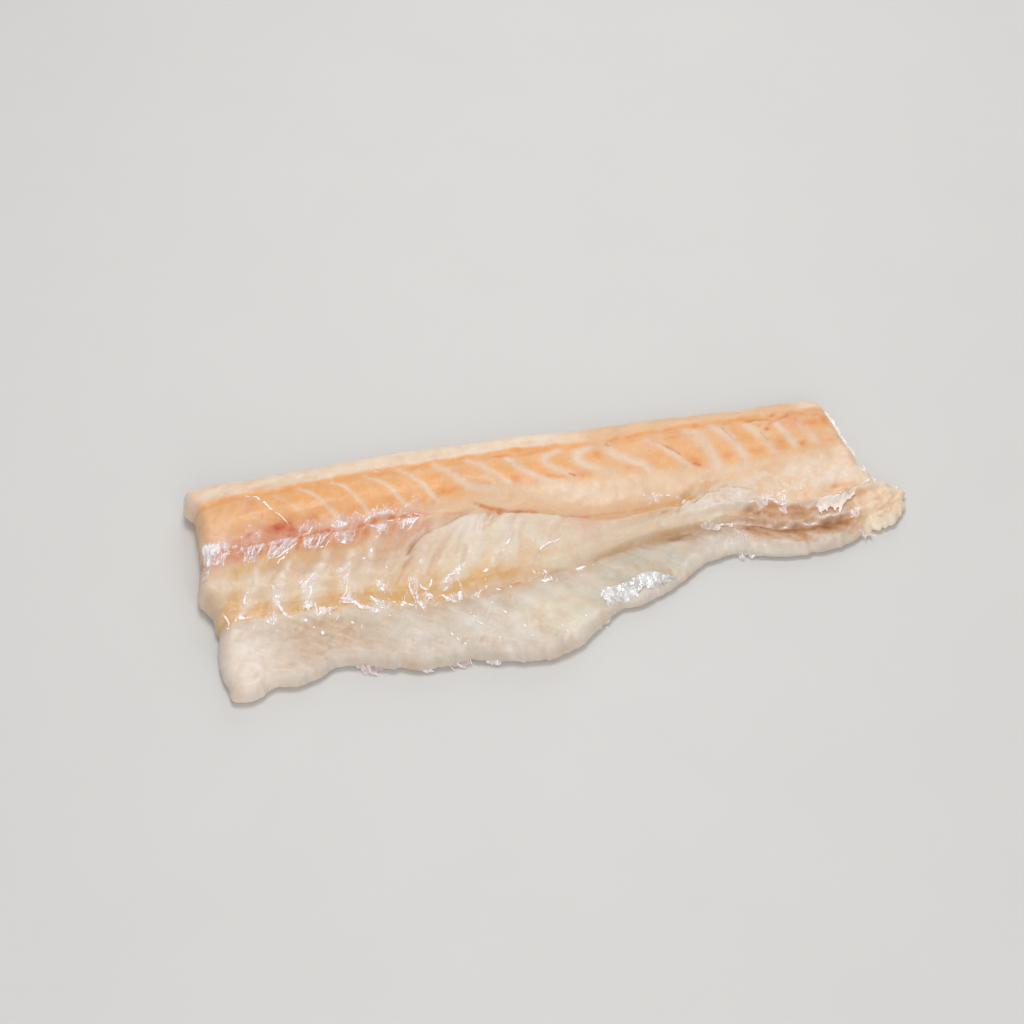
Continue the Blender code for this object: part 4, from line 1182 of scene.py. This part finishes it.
SEAM_STRANDS = [  # radius, points
    (0.22, [(27, 96), (29, 94.5), (31.5, 93), (34, 88.5), (37, 83), (40, 79.5), (42, 76)]),
    (0.18, [(44, 70), (39.5, 66), (36, 62.8), (34, 61.2), (32, 58.4), (30.5, 55.2)]),
    (0.16, [(41.5, 68.8), (36, 64.6), (32.5, 63)]), (0.15, [(38, 70), (33.5, 65.8), (30, 63)]),
    (0.2, [(57, 70), (57.2, 66.6), (58.8, 64.2), (61, 63.3), (63.3, 64.4), (64.8, 67), (66.5, 69.6)]),
    (0.15, [(93.5, 69.6), (90, 68.6), (86.6, 65.8), (84.4, 63.6)]),
    (0.2, [(70, 70.6), (75, 70.6), (81, 70.2), (88, 70.6), (93.5, 69.6)]),
    (0.16, [(7.6, 74), (8.4, 70), (7.4, 66), (7, 62)]), (0.25, [(10, 72), (13.5, 71), (16, 70.6)]),
    (0.2, [(10, 74), (12, 72), (14.5, 76.5)]), (0.15, [(48, 70), (46.6, 66.5), (45.6, 63)]),
    (0.15, [(52, 70), (50, 66.5), (47.4, 62.6)]), (0.15, [(27.5, 71), (24, 66.5), (22.2, 63.2)]),
    (0.12, [(25, 71), (22.6, 67.4), (21, 64)]),
]
# Films at the soft crease between the lobes and the flap.
CREASE_FILMS = [
    (0.25, 0.5, [(23, 55), (18.8, 51), (16.4, 45)], [(20.4, 51), (17.2, 48), (14.6, 43)]),
    (0.55, 0.8, [(51.6, 41), (56, 39.6), (60, 36.4), (65.6, 32)],
     [(52.2, 38.6), (56, 36.4), (59.6, 33.6), (64.6, 30)], dict(ragged=0.5)),
    (0.6, 0.8, [(29.6, 44.6), (31.4, 41), (33.6, 37.6)],
     [(28, 43.4), (29.6, 40), (32, 36.6)], dict(ragged=0.5)),
    (0.5, 0.8, [(90.6, 36.6), (95, 40), (101.4, 44.4)],
     [(92, 35), (97, 38), (102, 42)], dict(ragged=0.5)),
    (0.8, 0.9, [(11.4, 41), (14, 42.4), (17.6, 41.6)], [(12, 40.4), (14.5, 40.8), (18, 40.9)]),
    (0.35, 0.7, [(29, 51.4), (31, 50), (34, 51.6)], [(27.4, 44.4), (29, 43.4), (31, 45)]),
    (0.8, 0.9, [(28.4, 47), (31, 47.4)], [(27.4, 43.8), (30.4, 44.4)]),
    (0.45, 0.6, [(23.8, 42.6), (26, 43), (28.4, 41)], [(23.4, 37.6), (25.6, 35.8), (28, 38.6)]),
    (0.45, 0.6, [(46.4, 53), (44.6, 49.6), (42.4, 47)], [(40, 50), (38.8, 46), (37.8, 42)]),
    (0.6, 0.9, [(38, 41.8), (42, 41.4), (46, 39), (50.4, 37.4)],
     [(38, 39.6), (42, 35.6), (46.4, 34.8), (50, 36)], dict(fold=0.9, ragged=0.6)),
    (0.95, 1.0, [(38.4, 41.6), (40, 42.6), (42, 41.6)],
     [(38.6, 39.8), (40.2, 39.4), (42.4, 40)], dict(fold=0.8)),
    (0.45, 0.7, [(60, 54), (58, 50), (57, 46.6)], [(54.2, 52), (53.6, 48), (53.4, 44)]),
    (0.4, 0.7, [(52.6, 41), (57, 42.6), (58.4, 40)], [(52.6, 39.4), (56.6, 37.4), (59, 36)]),
    (0.55, 0.75, [(66.8, 44.8), (69, 42.8), (71, 40)], [(66.6, 42.4), (67.8, 40), (70.2, 38.2)]),
    (0.4, 0.5, [(60.4, 38.8), (63, 38.4), (66.6, 36), (70.4, 34.6)],
     [(63.6, 36.4), (65.8, 33), (66.8, 30), (68.4, 28.4)], dict(ragged=0.2)),
    (0.8, 0.9, [(70.6, 34.6), (74, 33.8), (78.4, 31)], [(71, 33), (75, 31.3), (78.2, 29.8)]),
    (0.5, 0.9, [(79.6, 34.4), (83, 36), (86.6, 32)],
     [(79.4, 30), (81.4, 28), (83.6, 30.2)], dict(fold=1.0, ragged=0.6)),
    (0.3, 0.7, [(78.2, 41.4), (80, 42.2), (82, 41)],
     [(78.8, 36), (80, 33.6), (81.4, 36.4)], dict(fold=0.8, ragged=0.5)),
    (0.6, 0.8, [(92, 38.6), (90.6, 36), (89.8, 33.4)], [(93.6, 37.4), (92.8, 35.4), (92.4, 33.6)]),
    (0.7, 0.9, [(88.2, 32.5), (92, 32.2), (97.8, 32.2)],
     [(90.8, 29), (93.6, 27), (96.8, 28.4)], dict(fold=0.9)),
    (0.7, 0.8, [(95.2, 38.8), (96.2, 36), (96.4, 33)], [(96.4, 38), (97.4, 35), (97.6, 31.6)]),
    (0.6, 0.9, [(99, 29.2), (102, 30.8), (105.2, 31.4)], [(99.4, 27.9), (101.6, 27.3), (103, 29)]),
    (0.6, 0.95, [(125, 34.2), (127.6, 33), (131.2, 32.4)],
     [(125.4, 32), (128, 31.8), (131, 31.6)], dict(fold=0.8, ragged=0.6)),
    (0.85, 1.0, [(126, 30.6), (128.6, 30), (131.6, 30.6)], [(127.6, 29.2), (129.4, 28.3), (131.4, 29)]),
    (0.2, 0.3, [(190.6, 44.5), (193, 44.5)], [(191.6, 33), (192.6, 34)]),
    (0.25, 0.4, [(206, 38.4), (209, 39.4), (211.6, 38.2)], [(207.6, 34), (209.6, 30.4), (211, 33)]),
    (0.4, 0.6, [(176, 57.4), (180, 58), (184, 57)], [(177, 54), (180, 53.2), (183, 54.6)]),
    (0.4, 0.5, [(184, 55.4), (188, 55), (192.6, 52.6)], [(186, 54.2), (189, 53), (190.6, 50.6)]),
]
CREASE_STRANDS = [
    (0.2, [(8, 47), (9, 43.4), (9.8, 40.6), (9.2, 38.2)]),
    (0.22, [(23, 55), (20.4, 51.6), (18, 48.4), (16.2, 44.4), (14.4, 42)]),
    (0.32, [(28.4, 44), (30, 41), (31.4, 38.6), (33, 37)]),
    (0.2, [(28, 38.6), (26.2, 37), (25.8, 34.4), (26.3, 32.6)]),
    (0.28, [(46, 53), (45, 50), (42.6, 47.6), (41.6, 44), (40, 41.6)]),
    (0.2, [(59.6, 53), (57.6, 49), (56, 45), (54.4, 42), (52, 40)]),
    (0.28, [(51.4, 39.8), (54, 38.4), (57, 37.4), (59, 35.2), (61, 34), (63, 33), (65.2, 30.8)]),
    (0.22, [(62, 38.8), (64, 37.2), (66.5, 35.2)]), (0.3, [(68.5, 28.6), (67, 30.6), (66.4, 33)]),
    (0.22, [(78.6, 42), (78.4, 38), (79, 34), (79.6, 30.6)]),
    (0.3, [(81.6, 41), (81, 37), (79.8, 33), (80.4, 30), (81.2, 27)]),
    (0.25, [(82, 38), (83.4, 36), (85, 34.4)]), (0.3, [(80.4, 29.4), (81.2, 27), (81.8, 25)]),
    (0.2, [(87.6, 39.6), (86.2, 37), (85.2, 35)]), (0.25, [(83, 33), (84.6, 33.4), (86.6, 31.6)]),
    (0.28, [(101, 43.6), (99, 41.2), (96, 39.8), (93.6, 38.6), (92, 36.4)]),
    (0.3, [(104.8, 49.6), (103, 47), (101.4, 43.8)]), (0.28, [(90, 29.6), (92.6, 28.4), (95.2, 26)]),
    (0.3, [(95.8, 25), (97.4, 22.6), (98.6, 19.8)]), (0.15, [(98.6, 19.6), (100, 16.6), (101.4, 14)]),
    (0.3, [(116, 44), (118.4, 46.8), (121, 50)]),
    (0.3, [(128.6, 38.6), (130.8, 42), (133.4, 43.4), (136.8, 44.4), (140, 45.4)]),
    (0.2, [(124.6, 34.8), (126, 32.8), (128.6, 32.2)]), (0.25, [(129.2, 34.2), (130, 32.6), (131, 32)]),
]
# Wet beads, white and glowing, which are partly painted glints: along, across, half length, half width,
# turn
FLECKS = [
    (9, 38.4, 0.7, 0.6, 0), (24, 37.6, 1.2, 0.6, -50), (37.6, 34.8, 0.9, 0.7, 60),
    (39.8, 31, 0.6, 0.5, 0), (42.4, 28, 1, 0.7, 0), (47, 35.3, 0.7, 0.4, 50),
    (54.2, 29.7, 0.9, 0.5, -50), (57, 27, 0.4, 1, -20), (85, 47.6, 1.2, 0.4, 60),
    (72, 48, 0.7, 0.3, 70), (68.6, 57.4, 1.4, 0.7, 60), (65, 54.4, 0.9, 0.5, 0),
    (51, 63.8, 0.9, 0.5, 0), (107.8, 37.9, 1.2, 0.7, 20), (106.4, 32, 0.5, 0.4, 0),
    (110.4, 30, 1.1, 0.5, -45), (115.2, 29.8, 0.4, 1, 10), (144, 32.3, 2.2, 0.75, 10),
    (142.6, 32, 1, 0.6, 0), (88.4, 15, 0.9, 0.4, -60), (90, 12.6, 0.8, 0.4, -60),
    (92, 9.8, 0.9, 0.35, -60), (105, 8.8, 0.8, 0.45, -50), (106.6, 24.6, 0.7, 0.4, -40),
    (110, 19, 1.2, 0.4, -50), (115.4, 11.4, 1, 0.4, -60), (117, 6.4, 0.3, 0.7, 0),
    (129, 8, 0.35, 0.9, 0), (130, 5, 0.35, 0.8, 10), (139, 10.4, 0.6, 0.8, 20),
    (237, 46, 0.35, 0.9, -20), (235, 46.6, 0.3, 0.6, -20), (239, 46.4, 0.3, 0.7, -20),
]
# Shreds of the ragged tail.
TAIL_FILMS = [
    (2, 0.35, [(240.4, 39), (243, 40.2), (247, 40.5), (252, 40.6), (256, 41.4), (260.5, 42.6)],
     [(241.4, 34.4), (243.6, 33), (246, 35.4), (248.6, 32.6), (250.4, 36), (255, 38.4)],
     dict(lift=1.0, fold=0.2, ragged=0.4)),
    (0.35, 0.7, [(217, 46.6), (220, 47.6), (225, 46.6), (231, 47)],
     [(217.4, 44), (221, 43.6), (225, 42.8), (230, 40.6)], dict(lift=0.4)),
    (0.5, 0.8, [(226, 41.6), (228, 41.2), (229.8, 40.4)],
     [(227.2, 38.6), (228.2, 36.8), (229, 38)], dict(lift=0.7)),
    (0.7, 0.5, [(262, 86), (263.4, 78), (264.4, 70), (265.4, 62)],
     [(263.4, 86), (264.8, 78), (266, 70), (267, 62)], dict(ragged=0.5, fold=0.2)),
    (0.7, 0.4, [(194, 41.2), (198, 41.4), (203, 41.5), (208, 41.2)],
     [(195, 39.8), (197.5, 38.2), (200, 37.4), (202, 37.6), (204, 39.6), (207, 38.8)],
     dict(ragged=0.5, lift=0.6)),
    (0.7, 0.6, [(264, 50), (266, 47), (269, 46)],
     [(267, 58), (268.2, 52), (270.6, 48.6)], dict(ragged=0.5, lift=0.2)),
    (0.5, 0.4, [(254, 25.5), (257, 25.8), (259.4, 25)],
     [(254.4, 23), (257, 21.9), (260, 22.2)], dict(ragged=0.5)),
    (0.6, 1.0, [(253, 33), (255, 35), (258.4, 35)], [(253.2, 31), (255, 31.2), (257.4, 32)]),
    (0.8, 0.5, [(262, 43), (267, 44.4), (272, 43.6), (276.5, 42)],
     [(263, 45.4), (268, 47), (273, 45.4), (277.5, 43.4)], dict(ragged=0.5, lift=0.3, fold=0.8)),
]
TAIL_STRANDS = [
    (0.25, [(212, 43.7), (217, 44.2), (222, 43.7), (226, 42.4), (230, 40.5), (236, 39.4), (240, 38.7)]),
    (0.3, [(224.4, 43), (227, 41.8), (229.8, 40.2)]),
    (0.25, [(231.5, 46.8), (228.6, 45.6), (226.4, 44.4)]),
    (0.2, [(230.2, 46.2), (229.6, 43.6), (229.4, 41)]), (0.3, [(223.2, 43), (222.2, 41), (221, 39.5)]),
    (0.18, [(213, 40.8), (219, 37.7), (224, 35.1), (226.6, 34), (230, 33.6), (240, 33.3), (251, 33.4)]),
    (0.2, [(240.6, 39), (243, 40.3), (247, 40.7), (252, 40.8), (256, 41.6), (261, 42.8)]),
    (0.25, [(266, 50), (267.2, 54), (268, 57.6)]), (0.25, [(264.8, 54), (265.6, 58), (265.2, 61.5)]),
    (0.3, [(268, 48), (269.4, 50), (269.8, 52)]), (0.2, [(253.4, 33.4), (254.6, 32.4), (255, 30.8)]),
    (0.15, [(207.5, 28), (207, 26), (206.6, 24.6)]), (0.12, [(146, 8.6), (146.6, 7.4), (146.8, 6.6)]),
]
# Shreds that hang from the belly edge, and skin drawn down over the head cut.
HANGING_FILMS = [
    (0.6, 0, [(51.5, 16), (55, 15), (59, 13.6), (62, 12.6)],
     [(53, 12.6), (56.4, 10.4), (59.6, 9.6), (62.4, 10)], dict(hang=0.8, ragged=0.6, fold=0.2)),
    (0.6, 0, [(84, 7.4), (88, 7.6), (93.6, 7)],
     [(86, 4.8), (90, 3.8), (94, 3.6)], dict(hang=0.8, ragged=0.6, fold=0.2)),
    (0.6, 0.6, [(72, 9), (76, 7.6), (79, 7.4)],
     [(72.8, 7), (76, 6), (79, 5.6)], dict(hang=0.5, ragged=0.6)),
    (0.6, 0.6, [(98.6, 5.6), (102, 4.6), (105.6, 3.6)],
     [(99.4, 3), (102.4, 1.8), (105, 1.8)], dict(hang=0.6, ragged=0.7)),
    (0.3, 0.4, [(9.4, 78), (9, 72), (8.4, 66), (6.6, 60)],
     [(7.8, 78), (7, 72), (6, 66), (3.8, 60.5)], dict(ragged=0.3)),
    (0.5, 0.6, [(203, 30), (208, 29), (213, 27)],
     [(203.6, 27.4), (208, 26.2), (213, 24.8)], dict(hang=0.5, ragged=0.7)),
    (0.5, 0.7, [(142, 10), (147, 12.6), (151, 14)],
     [(142.6, 7.6), (147, 9.4), (151.6, 12)], dict(hang=0.5, ragged=0.8)),
]


def strewn(seed, count, line, first, last, spread):
    """Seeded places scattered on both sides of a line, between two places along it."""
    rng = np.random.default_rng(seed)
    along = rng.uniform(first, last, count)
    return along, line(along) + spread * rng.normal(size=count), rng


def strewn_hairs():
    """Short threads, laid about as the fibres of the flesh lie."""
    hairs = []
    for *row, lean in [
        (71, 36, bone_seam, 8, 92, 3, 48),
        (72, 36, flap_crease, 10, 145, 3.4, 60),
        (73, 5, belly_edge, 20, 262, 0.4, -60),
    ]:
        x, y, rng = strewn(*row)
        turn = np.radians(lean + rng.normal(size=len(x)) * 18)
        half = rng.uniform(0.8, 2.6, len(x))
        for k, (c, s) in enumerate(zip(np.cos(turn) * half, np.sin(turn) * half)):
            bend = rng.normal(size=2) * 0.4
            middle = (x[k] + bend[0], y[k] + bend[1])
            points = [(x[k] - c, y[k] - s), middle, (x[k] + c, y[k] + s)]
            hairs.append(strand(points, rng.uniform(0.05, 0.09), 700 + k))
    return hairs


def strewn_beads():
    """Tiny wet beads, most of them near the crease; white and glowing, they are partly painted glints.
    """
    beads = []
    for row in [
        (81, 15, flap_crease, 8, 150, 3),
        (82, 7, bone_seam, 8, 95, 3.6),
        (83, 7, fold_foot, 195, 265, 2.4),
    ]:
        x, y, rng = strewn(*row)
        for k in range(len(x)):
            length = rng.uniform(0.15, 0.4)
            beads.append(fleck(x[k], y[k], length, 0.6 * length, rng.uniform(0, 180), 800 + k))
    return beads


# The silvery skin left on the edge of the flap.
SILVER_TOP = [(146.6, 18.4), (149, 21.6), (155, 22.2), (160, 22.8), (165, 25.2), (170, 25.6), (174, 23),
              (178.6, 21.4)]
SILVER_FOOT = [(148, 13.8), (150.5, 14.8), (156, 15.6), (162, 16.8), (168, 18), (174, 19.4),
               (178.8, 20.9)]


def silver_skin(material):
    """A crinkled skin: sharp creases are the absolute value of seeded bumps of two sizes."""
    x, y, z, cover, white = film(SILVER_TOP, SILVER_FOOT, 300, 1, 0.5, fold=0.2, ragged=0.12)
    crinkle = 0.6 * np.abs(grain(x, y, 5, seed=301, turn=40, stretch=1.6, octaves=2))
    crinkle += 0.1 * np.abs(grain(x, y, 1.8, seed=302))
    # Whiter along the sharp creases: painted glints of the crinkles over the skin's own grey.
    white = np.clip(1.3 - 2.2 * crinkle, 0, 1)
    join("silver_skin", [(x, y, z + crinkle, cover, white)], material)


def laid(films, strands, seed, ridge_size=RIDGE_SIZE):
    """The films and strands of one kind, each with seeded bumps of its own."""
    sheets = [film(root, tip, seed + 5 * k, cover, white, ridge_size, **dict(*ways))
              for k, (cover, white, root, tip, *ways) in enumerate(films)]
    return sheets + [strand(points, radius, seed + k) for k, (radius, points) in enumerate(strands)]


def all_films(film_material, flake_material, silver_material):
    """Every thin thing that lies on the flesh, one piece for each kind."""
    join("hanging_films", laid(HANGING_FILMS, [], 350), film_material)
    join("seam_films", laid(SEAM_FILMS, SEAM_STRANDS, 400, ridge_size=0.5), film_material)
    join("crease_films", laid(CREASE_FILMS, CREASE_STRANDS, 500), film_material)
    join("tail_shreds", laid(TAIL_FILMS, TAIL_STRANDS, 600), flake_material)
    join("fine_threads", strewn_hairs(), film_material)
    # White, glowing flecks and beads: painted glints as well as wet beads.
    flecks = [fleck(*row, seed=k) for k, row in enumerate(FLECKS)]
    join("glint_flecks", flecks + strewn_beads(), film_material)
    silver_skin(silver_material)


# ---------------------------------------------------------------- materials
class Socket:
    """An output socket of a material, so that shader maths is written as Python: a * b adds a
    Multiply node and gives its result."""

    def __init__(self, paint, output):
        self.paint, self.output = paint, output

    def maths(self, operation, first, second):
        node = self.paint.node("ShaderNodeMath", {"operation": operation}, {0: first, 1: second})
        return self.paint.socket(node, 0)

    def __add__(self, other):
        return self.maths("ADD", self, other)

    def __sub__(self, other):
        return self.maths("SUBTRACT", self, other)

    def __rsub__(self, other):
        return self.maths("SUBTRACT", other, self)

    def __mul__(self, other):
        return self.maths("MULTIPLY", self, other)

    __radd__, __rmul__ = __add__, __mul__


class Paint:
    """A material and the nodes that make it."""

    def __init__(self, name, **shader_values):
        self.material = bpy.data.materials.new(name)
        self.material.use_nodes = True
        self.tree = self.material.node_tree
        self.shader = self.tree.nodes["Principled BSDF"]
        self.fill(self.shader, {k.replace("_", " "): v for k, v in shader_values.items()})

    def fill(self, node, values):
        """Gives each named or numbered input its value or its link."""
        for key, value in values.items():
            if isinstance(value, Socket):
                self.tree.links.new(value.output, node.inputs[key])
            else:
                node.inputs[key].default_value = value

    def node(self, kind, settings, values):
        node = self.tree.nodes.new(kind)
        for name, setting in settings.items():
            setattr(node, name, setting)
        self.fill(node, values)
        return node

    def socket(self, node, output):
        return Socket(self, node.outputs[output])

    def attribute(self, name):
        node = self.node("ShaderNodeAttribute", {"attribute_name": name}, {})
        return self.socket(node, "Fac")

    def place(self, stretch, turn):
        """Object coordinates in metres, for a pattern that is drawn out along each axis by those
        factors and then lies turn degrees round from the length of the fillet."""
        coordinates = self.socket(self.node("ShaderNodeTexCoord", {}, {}), "Object")
        values = {"Rotation": (0, 0, -np.radians(turn)), "Vector": coordinates}
        turned = self.socket(self.node("ShaderNodeMapping", {}, values), "Vector")
        values = {"Vector": turned, "Scale": tuple(1 / s for s in stretch)}
        return self.socket(self.node("ShaderNodeMapping", {}, values), "Vector")

    def noise(self, size, detail=3.0, stretch=(1, 1, 1), turn=0, roughness=0.55):
        """Noise from 0 to 1, with blobs of that size in metres."""
        values = {"Vector": self.place(stretch, turn), "Scale": 1 / size, "Detail": detail}
        node = self.node("ShaderNodeTexNoise", {}, {**values, "Roughness": roughness})
        return self.socket(node, 0)

    def mix(self, first, second, factor):
        """One colour turning into another as factor goes from 0 to 1."""
        values = {0: factor, 6: first, 7: second}
        node = self.node("ShaderNodeMix", {"data_type": "RGBA", "clamp_factor": True}, values)
        return self.socket(node, 2)

    def bump(self, height, strength, distance, normal=None):
        values = {"Height": height, "Strength": strength, "Distance": distance}
        if normal is not None:
            values["Normal"] = normal
        return self.socket(self.node("ShaderNodeBump", {}, values), "Normal")

    def set(self, **values):
        """Links what changes over the surface to the shader."""
        self.fill(self.shader, {k.replace("_", " "): v for k, v in values.items()})


def flesh_fibre(paint):
    """Fine fibres: they slant one way on the flap and the other way on the lobes, and are shorter
    and coarser on the loin."""
    flap_fibre = paint.noise(0.0008, detail=4.0, stretch=(14, 1, 1), turn=FLAP_FIBRES)
    lobe_fibre = paint.noise(0.0008, detail=4.0, stretch=(14, 1, 1), turn=LOBE_FIBRES + 2)
    loin_fibre = paint.noise(0.0014, detail=4.0, stretch=(5, 1, 1), turn=-52)
    belly = paint.attribute("pearl")
    soft = paint.attribute("milk") * (1 - belly)
    return flap_fibre * belly + lobe_fibre * soft + loin_fibre * 0.8 * (1 - belly - soft)


def flesh_colour(paint, mottle, fibre):
    """The tints mixed by their masks, each broken up by the mottling, then pale fibres, broad
    clouds, and small flecks, both pale and dark."""
    colour = PLAIN
    for tint, shade in TINTS.items():
        colour = paint.mix(colour, shade, paint.attribute(tint.__name__) * (0.3 + 1.4 * mottle))
    colour = paint.mix(colour, srgb(250, 240, 228), (fibre * 2.2 - 0.95) * 0.13)
    colour = paint.mix(colour, srgb(212, 160, 112), 1.2 * paint.noise(0.008, detail=6.0) - 0.54)
    flecks = paint.noise(0.0016, detail=3.0, roughness=0.7)
    colour = paint.mix(colour, srgb(255, 246, 236), (flecks - 0.5) * 0.35)
    return paint.mix(colour, srgb(196, 140, 96), (0.46 - flecks) * 0.3)


def flesh_paint():
    """Moist raw white fish: a translucent body that shines where it is wet, with shallow bumps
    along its fibres."""
    paint = Paint(
        "raw_hake_flesh",
        Subsurface_Weight=0.2,
        Subsurface_Scale=0.0012,
        Subsurface_Radius=(1.0, 0.7, 0.5),
        IOR=1.4,
        Specular_IOR_Level=0.5,
    )
    mottle, fibre = paint.noise(0.003, detail=5.0), flesh_fibre(paint)
    normal = paint.bump(fibre, 0.25, 0.0003)
    normal = paint.bump(mottle, 0.25, 0.0008, normal)
    normal = paint.bump(paint.noise(0.0007, detail=2.0), 0.25, 0.00025, normal)
    paint.set(
        Base_Color=flesh_colour(paint, mottle, fibre),
        Roughness=0.55 - 0.38 * paint.noise(0.006, detail=4.0),
        Normal=normal,
    )
    return paint.material


def film_paint(name, thin):
    """Thin wet skin: pinkish where it is thin, white where it is folded, and see-through between its
    folds. Where it is white it also glows faintly, which is painted light."""
    paint = Paint(
        name, Coat_Roughness=0.1, Coat_IOR=1.5, Specular_IOR_Level=0.6, Emission_Strength=0.1
    )
    white, cover = paint.attribute("white"), paint.attribute("cover")
    speck = paint.noise(0.0006, detail=2.0)
    paint.set(
        Base_Color=paint.mix(thin, srgb(255, 253, 253), white),
        # Painted light: the white parts glow faintly, though the skin is no lamp.
        Emission_Color=paint.mix(srgb(0, 0, 0), srgb(255, 252, 252), white),
        Roughness=0.35 - 0.15 * speck,
        Coat_Weight=1.2 * speck - 0.1,
        Alpha=cover * (0.75 + 0.5 * speck),
        Normal=paint.bump(speck, 0.3, 0.0002),
    )
    return paint.material


def silver_paint():
    """The shiny lining of the belly: grey, with white specks along its creases that are painted glints.
    """
    paint = Paint(
        "silver_skin", Metallic=0.1, Coat_Roughness=0.08, Coat_IOR=1.5, Specular_IOR_Level=0.8
    )
    speck, white = paint.noise(0.0008, detail=3.0), paint.attribute("white")
    paint.set(
        # Painted glints: white specks along the creases.
        Base_Color=paint.mix(srgb(221, 216, 214), srgb(254, 254, 253), white * 1.6 * speck),
        Roughness=0.3 - 0.15 * speck,
        Coat_Weight=0.6 + 0.4 * speck,
        Alpha=paint.attribute("cover"),
        Normal=paint.bump(speck, 0.3, 0.0002),
    )
    return paint.material


# ---------------------------------------------------------------- stage, light and camera
def floor():
    """A plain pale floor, and its material."""
    paint = Paint("pale_floor", Roughness=0.6)
    tone = paint.mix(srgb(222, 221, 219), srgb(218, 217, 215), paint.noise(0.05))
    paint.set(Base_Color=tone)
    mesh = bpy.data.meshes.new("floor")
    half = 2.0
    corners = [(-half, -half, 0), (half, -half, 0), (half, half, 0), (-half, half, 0)]
    mesh.from_pydata(corners, [], [(0, 1, 2, 3)])
    mesh.materials.append(paint.material)
    sheet = bpy.data.objects.new("floor", mesh)
    bpy.context.scene.collection.objects.link(sheet)
    sheet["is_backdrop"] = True


def softbox(name, place, aim, size, power, tint=(1, 1, 1)):
    """A square area light at place, facing aim."""
    lamp = bpy.data.lights.new(name, "AREA")
    lamp.size, lamp.energy, lamp.color = size, power, tint
    holder = bpy.data.objects.new(name, lamp)
    holder.location = place
    way = np.array(aim, float) - np.array(place, float)
    flat = np.hypot(way[0], way[1])
    holder.rotation_euler = (np.arctan2(flat, -way[2]), 0, np.arctan2(way[1], way[0]) - np.pi / 2)
    bpy.context.scene.collection.objects.link(holder)


def light():
    world = bpy.data.worlds.new("soft_room")
    world.use_nodes = True
    background = world.node_tree.nodes["Background"]
    background.inputs["Color"].default_value = (1.0, 0.99, 0.975, 1)
    background.inputs["Strength"].default_value = 0.36
    bpy.context.scene.world = world
    softbox("key", (0.0, 0.25, 0.95), (0, 0, 0), 0.3, 3.4)
    softbox("front", (-0.15, -1.0, 0.75), (0, 0, 0), 1.2, 6.5)
    softbox("back", (0.5, 1.0, 0.6), (0, 0, 0), 0.8, 3.0)


def camera():
    """The lens that takes in the fillet from its head end and above."""
    lens = bpy.data.cameras.new("camera")
    lens.lens, lens.sensor_width = 94.9, 36.0
    holder = bpy.data.objects.new("camera", lens)
    holder.location = (-0.2152, -0.6228, 0.8036)
    holder.rotation_euler = Euler(np.radians([39.934, -1.166, -16.278]))
    bpy.context.scene.collection.objects.link(holder)
    bpy.context.scene.camera = holder


# ---------------------------------------------------------------- the whole scene
fillet_flesh(flesh_paint())
thin_skin = film_paint("wet_film", srgb(238, 208, 208))
torn_flakes = film_paint("torn_flakes", srgb(246, 226, 204))
all_films(thin_skin, torn_flakes, silver_paint())
floor()
light()
camera()
bpy.context.scene.view_settings.view_transform = "Standard"

sizes = {"cad": [list(c) for c in cad_box], "visual": [list(c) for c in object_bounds()]}
